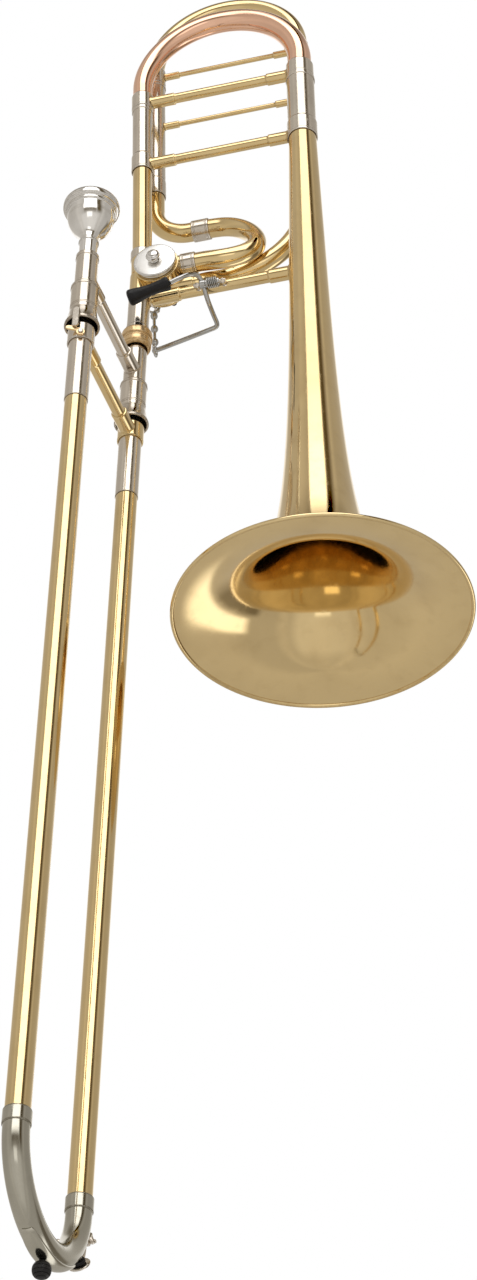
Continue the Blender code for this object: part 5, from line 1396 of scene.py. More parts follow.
@dataclass
class ThumbTrigger:
    """Bent wire lever on the lower brace, its thumb pad, coil and the link to the crank."""

    axis_y: float = -0.0100
    axis_z: float = 0.3196
    left_x: float = 0.0462
    right_x: float = 0.0610
    brace_z: float = 0.3246
    brace_r: float = 0.0045
    socket_r: float = 0.0053
    socket: float = 0.0290
    neck_seat_r: float = 0.0081
    pin_r: float = 0.0014
    wire_r: float = 0.0018
    barrel_r: float = 0.0031
    ball_r: float = 0.0024
    coil_wire_r: float = 0.00045
    coil_turns: int = 6
    coil_start: float = 0.0054
    coil_length: float = 0.0080
    eye_r: float = 0.0030
    link_knots: float = 2.62
    link_x: float = 0.0026
    link_y: float = 0.0268
    link_z: float = 0.2985

    def wire_path(self) -> list[Vector]:
        """Middle of the lever's wire from the thumb pad to the link."""
        return rounded_path([LAYOUT.neck(*place) for place in (
            (0.0275, -0.0235, 0.3135), (0.0340, -0.0222, 0.3175), (0.0405, -0.0190, 0.3225),
            (0.0455, -0.0150, 0.3245), (0.0482, -0.0100, 0.3218), (0.0490, -0.0048, 0.3168),
            (0.0498, 0.0010, 0.3118), (0.0512, 0.0110, 0.3070), (0.0520, 0.0170, 0.3046),
            (0.0505, 0.0194, 0.3035), (0.0450, 0.0202, 0.3025), (0.0300, 0.0225, 0.3009),
            (0.0120, 0.0253, 0.2992), (self.link_x, self.link_y, self.link_z))], 8)

    def build_brace(self, shop: Workshop) -> None:
        """Build the lower brace and the bracket that holds the lever's pin."""
        left, right = LAYOUT.neck(0.0, 0.0, self.brace_z), Vector((0.0, 0.0, self.brace_z))
        seats = (Seat(LAYOUT.slide_up(), self.neck_seat_r), Seat(UP, Bell().radius(self.brace_z)))
        shape = brace_shape(left, right, self.brace_r, self.socket_r, self.socket, seats)
        shop.piece("bar_between_neck_and_bell", shape, YELLOW, "lower_brace")
        axis = Matrix.Translation(LAYOUT.neck(0.0, self.axis_y, self.axis_z)) @ ALONG_X
        build = turned(rod(self.pin_r, self.left_x - 0.0047, self.right_x + 0.0047, 0.0003), axis, 24)
        for x in (self.left_x - 0.0022, self.right_x + 0.0022):
            foot, head = LAYOUT.neck(x, 0.0, self.brace_z), LAYOUT.neck(x, self.axis_y, self.axis_z)
            matrix, length = between(foot, head)
            turned(softened([
                (0.0, self.brace_r - 0.0004), (0.0026, self.brace_r - 0.0004),
                (0.0019, self.brace_r + 0.0012), (0.0018, length - 0.0020), (0.0020, length),
                (0.0016, length + 0.0013), (0.0, length + 0.0015)], 0.0005, closed=False), matrix, 28, build)
        shop.piece("lever_cradle", build, NICKEL, "lever_bracket")

    def build_lever(self, shop: Workshop) -> None:
        """Build the wire lever, the pad and the coil around the barrel."""
        axis = Matrix.Translation(LAYOUT.neck(0.0, self.axis_y, self.axis_z)) @ ALONG_X
        bore = self.pin_r + SHAFT_GAP
        r, left, right = self.barrel_r, self.left_x, self.right_x
        build = turned(softened([
            (r - 0.0003, left), (r, left + 0.0006), (r, left + 0.0040), (r - 0.0004, left + 0.0044),
            (r - 0.0004, right - 0.0008), (r - 0.0006, right), (bore, right), (bore, left)],
            0.0003), axis, 36)
        path = self.wire_path()
        swept(path, [self.wire_r] * len(path), None, 22, build)
        end = Matrix.Translation(LAYOUT.neck(self.link_x, self.link_y, self.link_z))
        angles = [math.pi * n / 16 for n in range(17)]
        ball = [(self.ball_r * math.sin(angle), -self.ball_r * math.cos(angle)) for angle in angles]
        ball[0], ball[-1] = (0.0, ball[0][1]), (0.0, ball[-1][1])
        turned(ball, end, 32, build)
        shop.piece("wire_lever", build, CHROME, "thumb_lever", sharp=50.0)
        marks = [
            (0.0272, -0.0235, 0.3133, 0.0044), (0.0255, -0.0236, 0.3128, 0.0052),
            (0.0210, -0.0237, 0.3116, 0.0047), (0.0150, -0.0238, 0.3100, 0.0043),
            (0.0090, -0.0238, 0.3084, 0.0046), (0.0030, -0.0238, 0.3068, 0.0056),
            (-0.0020, -0.0238, 0.3055, 0.0060), (-0.0040, -0.0238, 0.3050, 0.0044)]
        points = rounded_path([LAYOUT.neck(x, y, z) for x, y, z, _ in marks], 8)
        sizes = rounded_path([Vector((radius, 0.0, 0.0)) for *_, radius in marks], 8)
        radii = [size.x for size in sizes]
        for index, share in enumerate((0.55, 0.80, 0.93)):
            radii[index] = radii[3] * share
            radii[-1 - index] = radii[-4] * share
        shop.piece("waisted_thumb_pad", swept(points, radii, None, 40), RUBBER, "thumb_pad", sharp=70.0)
        count = self.coil_turns * 24
        reach = self.barrel_r + 0.0008
        coil = []
        for index in range(count + 1):
            share, angle = index / count, 2.0 * math.pi * self.coil_turns * index / count
            y, z = self.axis_y + reach * math.cos(angle), self.axis_z + reach * math.sin(angle)
            coil.append(LAYOUT.neck(left + self.coil_start + self.coil_length * share, y, z))
        wire = swept(coil, [self.coil_wire_r] * len(coil), None, 12)
        shop.piece("lever_coil", wire, CHROME, "lever_spring", sharp=70.0)

    def build_link(self, shop: Workshop, valve: RotaryValve) -> None:
        """Build the link from the lever to the crank."""
        low = LAYOUT.neck(self.link_x, self.link_y, self.link_z)
        high = valve.spot(valve.rest, valve.crank_r, valve.crank_y + 0.0022) - Vector((0.0014, 0.0, 0.0))
        direction = (high - low).normalized()
        eye = self.eye_r
        start, stop = low + direction * (eye + 0.0010), high - direction * (eye + 0.0010)
        shares = [n / 48 for n in range(49)]
        radii = []
        for share in shares:
            bulge = max(math.cos((share - 0.125) * 2.0 * math.pi * self.link_knots), 0.0) ** 0.7
            radii.append(0.0012 + 0.0016 * bulge)
        path = [start + (stop - start) * share for share in shares]
        build = swept(path, radii, None, 24)
        for centre, axis in ((low, RIGHTWARDS), (high, Vector((0.0, 1.0, 0.0)))):
            ring = []
            for index in range(16):
                angle = 2.0 * math.pi * index / 16
                ring.append((eye + 0.0012 + 0.0010 * math.cos(angle), 0.0010 * math.sin(angle)))
            turned(ring, between(centre, centre + axis)[0], 36, build)
        shop.piece("swivel_link", build, CHROME, "crank_link", sharp=60.0)

    def build(self, shop: Workshop, valve: RotaryValve) -> None:
        """Build the brace, lever and link."""
        self.build_brace(shop)
        self.build_lever(shop)
        self.build_link(shop, valve)


@dataclass
class SlideLock:
    """Receiver of the hand slide and its ring nut."""

    stub_r: float = 0.0081
    bore_r: float = 0.00735
    top: float = 0.0450
    shoulder: float = 0.0715
    nut_top: float = 0.0770
    nut_bottom: float = 0.0930
    nut_r: float = 0.0113

    def build(self, shop: Workshop) -> None:
        """Build the receiver and the nut."""
        slide = LAYOUT.slide()
        r, top, step = self.stub_r, -self.top, -self.shoulder
        receiver = softened([
            (r, top), (r, step), (r + 0.0006, step - 0.0006), (r + 0.0006, step - 0.0120),
            (self.bore_r, step - 0.0120), (self.bore_r, top)], 0.0004)
        shop.piece("receiver_tube", turned(receiver, slide), NICKEL, "slide_receiver")
        r, top, low = self.nut_r, -self.nut_top, -self.nut_bottom
        nut = softened([
            (r - 0.0014, top), (r - 0.0005, top - 0.0003), (r, top - 0.0012), (r, top - 0.0062),
            (r - 0.0005, top - 0.0068), (r - 0.0013, top - 0.0071), (r - 0.0013, top - 0.0082),
            (r - 0.0006, top - 0.0088), (r - 0.0006, low + 0.0028), (r - 0.0014, low + 0.0008),
            (r - 0.0022, low), (self.bore_r + 0.0008, low), (self.bore_r + 0.0008, top - 0.0068),
            (self.stub_r + 0.0009, top - 0.0068), (self.stub_r + 0.0009, top)], 0.0005)
        shop.piece("ring_nut", turned(nut, slide, 72), NUT, "lock_nut")


@dataclass
class HandSlide:
    """Fixed inner slide and moving outer slide, with their braces, bow and guard."""

    inner_r: float = 0.00695
    inner_bore: float = 0.00655
    outer_bore: float = 0.00725
    outer_r: float = 0.00765
    stocking_r: float = 0.0081
    stub_r: float = 0.0081
    barrel_r: float = 0.0099
    barrel_mouth_r: float = 0.0124
    receiver_top: float = 0.0450
    socket_top: float = 0.0960
    mouth_top: float = 0.0974
    barrel_top: float = 0.1284
    barrel_bottom: float = 0.1680
    inner_brace_s: float = 0.1172
    outer_brace_s: float = 0.1775
    stocking_top: float = 0.1400
    stocking_bottom: float = 0.2373
    inner_end: float = 0.7750
    ferrule_top: float = 0.7908
    ferrule_bottom: float = 0.8006
    bow_s: float = 0.8012
    bow_depth: float = 0.0475
    bow_r: float = 0.0080
    ferrule_r: float = 0.0086
    brace_r: float = 0.0046
    socket_r: float = 0.0057
    brace_socket: float = 0.0240
    moving_socket: float = 0.0235
    bow_wall: float = 0.0007
    mouth_socket_r: float = 0.0082
    nipple_angle: float = math.radians(29.0)
    guard_angles: tuple[float, float] = (math.radians(43.0), math.radians(115.0))
    rest_angle: float = math.radians(89.0)
    latch_s: float = 0.1822
    latch_lift: float = 0.0016
    latch_facing: float = math.radians(-70.0)
    tab_facing: float = math.radians(-86.0)
    tab_half: float = 0.0024

    def bow_point(self, angle: float, past: float = 0.0, offset: float = 0.0) -> Vector:
        """Point near the bow's half ellipse; angle 0 is the neck-side leg.

        Args:
            angle: Angle along the bow.
            past: Distance outwards from the bow's middle line.
            offset: Distance sideways.

        Returns:
            The point.
        """
        half = LAYOUT.slide_spacing / 2.0
        across = math.cos(angle) / half
        down = math.sin(angle) / self.bow_depth
        past = past / math.hypot(across, down)
        y = -half + half * math.cos(angle) + past * across
        z = -self.bow_s - self.bow_depth * math.sin(angle) - past * down
        return LAYOUT.slide() @ Vector((offset, y, z))

    def latch_frame(self) -> Matrix:
        """Frame of the latch on the mouthpiece leg's axis, +X out through its screw."""
        place = LAYOUT.mouth_leg() @ Matrix.Translation((0.0, 0.0, -self.latch_s))
        return place @ Matrix.Rotation(self.latch_facing, 4, "Z")

    def bow_sides(self, angle: float) -> tuple[Vector, Vector]:
        """Outward and sideways directions at an angle along the bow."""
        centre = self.bow_point(angle)
        outward = (self.bow_point(angle, 0.01) - centre).normalized()
        return outward, (self.bow_point(angle, 0.0, 0.01) - centre).normalized()

    def around(self, angle: float, turn: float, distance: float) -> Vector:
        """Point beside the bow, turned around its middle line."""
        outward, side = self.bow_sides(angle)
        return self.bow_point(angle) + (outward * math.cos(turn) + side * math.sin(turn)) * distance

    def barrel(self) -> Outline:
        """Outline of one cork barrel, flared and open at its lower end."""
        top, low = -self.barrel_top, -self.barrel_bottom
        r, mouth_r, sleeve_in = self.barrel_r, self.barrel_mouth_r, self.inner_r + SEAT_GAP
        return softened([
            (r - 0.0010, top), (r, top - 0.0010), (r, top - 0.0032), (r - 0.0004, top - 0.0036),
            *grooved(r - 0.0004, top - 0.0060, low + 0.0138, 0.0150, 0.0165), (r, low + 0.0120),
            (r + 0.0004, low + 0.0090), (r + 0.0014, low + 0.0050), (mouth_r, low + 0.0020),
            (mouth_r, low + 0.0006), (mouth_r - 0.0006, low), (mouth_r - 0.0016, low + 0.0004),
            (r, low + 0.0060), (r - 0.0009, low + 0.0100), (r - 0.0009, top - 0.0030),
            (sleeve_in, top - 0.0030), (sleeve_in, top)], 0.0006)

    def build_inner(self, shop: Workshop) -> None:
        """Build the inner tubes, barrels, sockets and the inner brace."""
        slide, mouth = LAYOUT.slide(), LAYOUT.mouth_leg()
        for side, matrix, top in (
            ("neck", slide, self.receiver_top + 0.0050), ("mouth", mouth, self.barrel_top - 0.01),
        ):
            tube = plain_pipe(self.inner_r, self.inner_bore, -self.inner_end, -top)
            shop.piece(f"inner_tube_{side}_leg", turned(tube, matrix), NICKEL, f"inner_tube_{side}")
            shop.piece(f"cork_barrel_{side}", turned(self.barrel(), matrix, 72), NICKEL, f"barrel_{side}")
        sleeve_in = self.inner_r + SEAT_GAP
        r, top, low = self.stub_r, -self.socket_top, -self.barrel_top
        socket = softened([
            (r - 0.0008, top), (r, top - 0.0008), (r, low + SEAT_GAP), (sleeve_in, low + SEAT_GAP),
            (sleeve_in, top)], 0.0005)
        shop.piece("socket_below_nut", turned(socket, slide), NICKEL, "brace_sleeve_neck")
        r, top = self.mouth_socket_r, -self.mouth_top
        receiver = softened([
            (r - 0.0012, top), (r, top - 0.0006), (r, top - 0.0040), (r - 0.0004, top - 0.0044),
            (r - 0.0004, low + 0.0030), (r, low + 0.0026), (r, low + SEAT_GAP), (sleeve_in, low + SEAT_GAP),
            (sleeve_in, low + 0.0104), (self.inner_r - 0.0012, low + 0.0108), (0.0067, top)], 0.0004)
        shop.piece("mouthpiece_socket", turned(receiver, mouth), NICKEL, "mouthpiece_receiver")
        up = LAYOUT.slide_up()
        start = slide @ Vector((0.0, 0.0, -self.inner_brace_s))
        stop = mouth @ Vector((0.0, 0.0, -self.inner_brace_s))
        shape = brace_shape(start, stop, self.brace_r, self.socket_r, self.brace_socket,
                            (Seat(up, self.stub_r), Seat(up, r - 0.0004)))
        shop.piece("hand_brace_fixed", shape, NICKEL, "inner_brace")

    def build_outer(self, shop: Workshop) -> None:
        """Build the stockings, outer tubes and the moving hand brace."""
        slide, mouth = LAYOUT.slide(), LAYOUT.mouth_leg()
        for side, matrix in (("neck", slide), ("mouth", mouth)):
            top, low = -self.stocking_top, -self.stocking_bottom
            sleeve = softened([
                (self.stocking_r, top), (self.stocking_r, low), (self.outer_bore, low),
                (self.outer_bore, top)], 0.0005)
            shop.piece(f"stocking_{side}_sleeve", turned(sleeve, matrix), NICKEL, f"stocking_{side}")
            tube = plain_pipe(self.outer_r, self.outer_bore, -self.ferrule_bottom + 0.0012,
                              -self.stocking_bottom - SEAT_GAP)
            shop.piece(f"outer_tube_{side}_leg", turned(tube, matrix), YELLOW, f"outer_tube_{side}")
        up = LAYOUT.slide_up()
        collar_r = self.stocking_r + 0.0013
        start = slide @ Vector((0.0, -0.0013, -self.outer_brace_s))
        stop = mouth @ Vector((0.0, 0.0013, -self.outer_brace_s))
        build = brace_shape(start, stop, self.brace_r, self.socket_r, self.moving_socket,
                            (Seat(up, collar_r - 0.0014), Seat(up, collar_r - 0.0014)))
        s = -self.outer_brace_s
        collar = softened([
            (self.stocking_r + 0.0001, s - 0.0072), (collar_r - 0.0003, s - 0.0072),
            (collar_r, s - 0.0064), (collar_r, s + 0.0064), (collar_r - 0.0003, s + 0.0072),
            (self.stocking_r + 0.0001, s + 0.0072)], 0.0004)
        turned(collar, slide, 56, build)
        shop.piece("hand_brace_moving", build, YELLOW, "outer_brace")
        build = turned(collar, mouth, 56)
        face = self.stocking_r + self.latch_lift
        outward = self.latch_frame() @ ALONG_X
        turned(softened([
            (0.0, face - 0.0010), (0.0010, face - 0.0010), (0.0010, face + 0.0019), (0.0019, face + 0.0019),
            (0.0019, face + 0.0025), (0.0013, face + 0.0031), (0.0, face + 0.0031)], 0.0002, closed=False),
            outward, 24, build)
        shop.piece("collar_on_mouth_leg", build, NICKEL, beside="outer_brace")

    def build_bow(self, shop: Workshop) -> None:
        """Build the bow with its ferrules and water nipple, the guard and the rubber rest."""
        slide, mouth = LAYOUT.slide(), LAYOUT.mouth_leg()
        bore = self.bow_r - self.bow_wall
        points = [slide @ Vector((0.0, 0.0, -self.ferrule_bottom + 0.0006))]
        points += [self.bow_point(math.pi * n / 72) for n in range(73)]
        points.append(mouth @ Vector((0.0, 0.0, -self.ferrule_bottom + 0.0006)))
        build = swept(points, [self.bow_r] * len(points), [bore] * len(points), 48)
        r, seat_r = self.ferrule_r, self.outer_r + 0.0001
        top, low = -self.ferrule_top, -self.ferrule_bottom
        for matrix in (slide, mouth):
            turned(softened([
                (r - 0.0003, top), (r, top - 0.0006), (r, low + 0.0006), (r - 0.0003, low), (seat_r, low),
                (seat_r, top)], 0.0004), matrix, 56, build)
        radial = self.bow_sides(self.nipple_angle)[0]
        surface = self.around(self.nipple_angle, 0.0, self.bow_r)
        nipple, _ = between(surface - radial * 0.0003, surface + radial)
        turned(softened([
            (0.0030, -0.0002), (0.0030, 0.0018), (0.0024, 0.0026), (0.0016, 0.0026), (0.0016, -0.0002)],
            0.0003), nipple, 32, build)
        shop.piece("slide_end_bow", build, BOW_NICKEL, "slide_bow", sharp=50.0)
        self.build_guard(shop)

    def build_guard(self, shop: Workshop) -> None:
        """Build the guard plate around the bow and the rubber rest under it."""
        inner_r = self.bow_r + 0.0001
        outer_r = self.bow_r + 0.0011
        steps, wide = 56, 28
        start, stop = self.guard_angles
        build = bmesh.new()
        layer = wear_and_shade_marks(build)
        rows = []
        for index in range(steps + 1):
            share = index / steps
            angle = start + (stop - start) * share
            spread = math.radians(21.0 + 26.0 * max(math.sin(math.pi * share), 0.0) ** 0.45)
            radial, side = self.bow_sides(angle)
            centre = self.bow_point(angle)
            row = []
            for order in (1, -1):
                for step in range(wide + 1):
                    place = -1.0 + 2.0 * step / wide
                    turn = order * spread * place
                    edge = min(1.0 - abs(place), min(share, 1.0 - share) * 3.0)
                    thin = min(edge / 0.10, 1.0)
                    radius = inner_r
                    if order == 1:
                        radius += (outer_r - inner_r) * (0.35 + 0.65 * thin ** 0.5)
                    spoke = radial * math.cos(turn) + side * math.sin(turn)
                    vert = build.verts.new(centre + spoke * radius)
                    vert[layer] = 0.9 * (1.0 - thin) if order == 1 else 0.0
                    row.append(vert)
            rows.append(row)
        for first, second in zip(rows, rows[1:]):
            join_rows(build, first, second)
        for row in (rows[0], rows[-1]):
            for step in range(wide):
                build.faces.new((row[step], row[step + 1], row[-2 - step], row[-1 - step]))
        shop.piece("bow_guard_plate", build, BOW_NICKEL, "bow_guard", sharp=60.0)
        base = self.bow_point(self.rest_angle, self.bow_r + 0.0014)
        down = (self.bow_point(self.rest_angle, 0.03) - self.bow_point(self.rest_angle)).normalized()
        matrix, _ = between(base, base + down)
        rest = softened([
            (0.0, 0.0), (0.0022, 0.0), (0.0022, 0.0008), (0.0042, 0.0016), (0.0054, 0.0036), (0.0057, 0.0058),
            (0.0053, 0.0082), (0.0040, 0.0100), (0.0020, 0.0109), (0.0, 0.0111)], 0.0012, 5, False)
        shop.piece("rubber_rest", turned(rest, matrix, 48), RUBBER, "rest_bumper", sharp=60.0)

    def build_latch(self, shop: Workshop) -> None:
        """Build the tab on the barrel and the little latch that locks it."""
        tab_frame = LAYOUT.mouth_leg() @ Matrix.Rotation(self.tab_facing, 4, "Z")
        build = bmesh.new()
        layer = wear_and_shade_marks(build)
        low, high = -self.barrel_bottom - 0.0108, -self.barrel_bottom + 0.0072
        rows = []
        inner, outer, wide = self.barrel_mouth_r + SEAT_GAP, self.barrel_mouth_r + 0.0017, self.tab_half
        for index in range(25):
            share = index / 24
            height = low + (high - low) * share
            cap = min(share, 1.0 - share) * 24 * 0.00075
            half = wide * math.sqrt(max(1.0 - max(1.0 - cap / wide, 0.0) ** 2, 0.04))
            row = []
            for x, y in ((inner, -half), (outer - 0.0003, -half), (outer, -half + 0.0004),
                         (outer, half - 0.0004), (outer - 0.0003, half), (inner, half)):
                vert = build.verts.new(tab_frame @ Vector((x, y, height)))
                vert[layer] = 0.6 if x > inner else 0.0
                row.append(vert)
            rows.append(row)
        close_rows(build, rows)
        foot = Matrix.Translation((self.barrel_r + 0.0019, 0.0, -self.barrel_bottom + 0.0056))
        foot = tab_frame @ foot @ ALONG_X
        turned(rod(0.0013, -0.0006, 0.0012, 0.0002), foot, 20, build)
        shop.piece("latch_catch", build, NICKEL, "lock_tab", sharp=30.0)
        face = self.stocking_r + self.latch_lift
        here = self.latch_frame()
        build = turned(softened([
            (0.00106, face), (0.0030, face), (0.0030, face + 0.0018), (0.00106, face + 0.0018)], 0.0003),
            here @ ALONG_X, 36)
        arm = here @ Matrix.Translation((face + 0.0009, 0.0, 0.0)) @ Matrix.Rotation(-0.24, 4, "X")
        layer = wear_and_shade_marks(build)
        rows = []
        for index in range(21):
            share = index / 20
            y = -0.0012 - 0.0096 * share
            z = 0.0014 + 0.0004 * math.sin(math.pi * share)
            rounding = max((share - 0.82) / 0.19, 0.0)
            half = 0.0017 * math.sqrt(max(1.0 - rounding ** 2, 0.02))
            row = []
            for x, dz in ((-0.0008, -half + 0.0003), (-0.0008, half - 0.0003), (-0.0005, half),
                          (0.0005, half), (0.0008, half - 0.0003), (0.0008, -half + 0.0003),
                          (0.0005, -half), (-0.0005, -half)):
                vert = build.verts.new(arm @ Vector((x, y, z + dz)))
                vert[layer] = 0.5
                row.append(vert)
            rows.append(row)
        close_rows(build, rows)
        shop.piece("latch_lever", build, NUT, "slide_latch", sharp=30.0)

    def build(self, shop: Workshop) -> None:
        """Build the whole hand slide."""
        self.build_inner(shop)
        self.build_outer(shop)
        self.build_bow(shop)
        self.build_latch(shop)


@dataclass
class WaterKey:
    """Water key at the slide's bow: post, lever, cup and cork."""

    post_angle: float = math.radians(12.0)
    hook_angle: float = math.radians(20.5)
    arm_r: float = 0.0013
    pivot_lift: float = 0.0047
    post_shift: float = 0.0050

    def build(self, shop: Workshop, slide: HandSlide) -> None:
        """Build the key around the bow.

        Args:
            shop: Workshop that makes the pieces.
            slide: Hand slide whose bow carries the key.
        """
        radial, side = slide.bow_sides(slide.nipple_angle)
        surface = slide.around(slide.nipple_angle, 0.0, slide.bow_r)
        post_radial = slide.bow_sides(self.post_angle)[0]
        base = slide.around(self.post_angle, 0.0, slide.bow_r)
        pivot = base + post_radial * self.pivot_lift
        pivot_frame, _ = between(pivot, pivot + side)
        build = turned(rod(0.0012, -0.0072, 0.0072, 0.0003), pivot_frame, 24)
        for shift in (-self.post_shift, self.post_shift):
            foot = base + side * shift
            matrix, _ = between(foot, foot + post_radial)
            turned(softened([
                (0.0, -0.0012), (0.0022, -0.0012), (0.0017, 0.0010), (0.0015, 0.0030), (0.0017, 0.0046),
                (0.0012, 0.0060), (0.0, 0.0063)], 0.0005, closed=False), matrix, 24, build)
        shop.piece("key_saddle", build, NICKEL, "key_post")
        cork_low = surface + radial * 0.0026
        cork_frame, _ = between(cork_low, cork_low + radial)
        shop.piece("key_pad", turned(rod(0.0042, 0.0, 0.0023, 0.0004), cork_frame, 36), RUBBER, "key_cork")
        cup_low = cork_low + radial * 0.0025
        cup_frame, _ = between(cup_low, cup_low + radial)
        build = turned(softened([
            (0.0, 0.0), (0.0064, 0.0), (0.0069, 0.0004), (0.0066, 0.0014), (0.0040, 0.0020), (0.0, 0.0022)],
            0.0007, 5, False), cup_frame, 44)
        turned(softened([(0.0012, -0.0032), (0.0024, -0.0032), (0.0024, 0.0032), (0.0012, 0.0032)], 0.0004),
               pivot_frame, 32, build)
        arm_start = cup_low + radial * 0.0017
        arm_end = pivot + post_radial * 0.0010
        bend = (arm_start + arm_end) / 2.0 + (radial + post_radial).normalized() * 0.0014
        path = rounded_path([arm_start, bend, arm_end], 10)
        swept(path, [self.arm_r] * len(path), None, 20, build)
        path = rounded_path([
            bend - post_radial * 0.0001, slide.around(self.hook_angle, math.radians(-32.0), 0.0132),
            slide.around(self.hook_angle, math.radians(-62.0), 0.0122),
            slide.around(self.hook_angle, math.radians(-88.0), 0.0116)], 10)
        last = len(path) - 1
        radii = [0.0011 + 0.0006 * (n / last) ** 2 for n in range(last + 1)]
        radii[-1] = 0.0010
        swept(path, radii, None, 20, build)
        shop.piece("key_lever", build, NICKEL, "water_key", sharp=50.0)


@dataclass
class Mouthpiece:
    """Cup mouthpiece with rim, bowl and shank."""

    rim_s: float = 0.0440
    wear_and_shade_share: float = 0.3

    def build(self, shop: Workshop) -> None:
        """Spin the mouthpiece from its radii at depths below the rim."""
        rim = -self.rim_s
        outer = [
            (0.0130, 0.0012), (0.0141, 0.0004), (0.0158, 0.0), (0.0176, 0.0002), (0.0191, 0.0010),
            (0.0200, 0.0026), (0.0202, 0.0044), (0.0199, 0.0062), (0.0190, 0.0071), (0.0178, 0.0075),
            (0.0180, 0.0084), (0.0180, 0.0096), (0.0176, 0.0104), (0.0167, 0.0108), (0.0166, 0.0136),
            (0.0164, 0.0166), (0.0157, 0.0196), (0.0145, 0.0226), (0.0128, 0.0256), (0.0106, 0.0285),
            (0.0086, 0.0310), (0.0071, 0.0336), (0.0065, 0.0372), (0.0070, 0.0392), (0.0073, 0.0400),
            (0.0070, 0.0408), (0.0065, 0.0414), (0.0063, 0.0540), (0.0057, 0.0700)]
        inner = [
            (0.0049, 0.0700), (0.0036, 0.0480), (0.0034, 0.0360), (0.0042, 0.0320), (0.0066, 0.0270),
            (0.0096, 0.0205), (0.0116, 0.0130), (0.0125, 0.0060), (0.0127, 0.0028)]
        points = [(radius, rim - depth) for radius, depth in outer + inner]
        # The share scales both the bright wear and the painted shade.
        outline = [(r, z, mark * self.wear_and_shade_share) for r, z, mark in softened(points, 0.0016)]
        shop.piece("cup_and_shank", turned(outline, LAYOUT.mouth_leg(), 80), SILVER, "mouthpiece", sharp=48.0)


@dataclass(frozen=True)
class Patch:
    """Part of the room that is lighter or darker than its walls."""

    name: str
    level: float
    around: tuple[tuple[float, float], ...]
    height: tuple[tuple[float, float], ...]


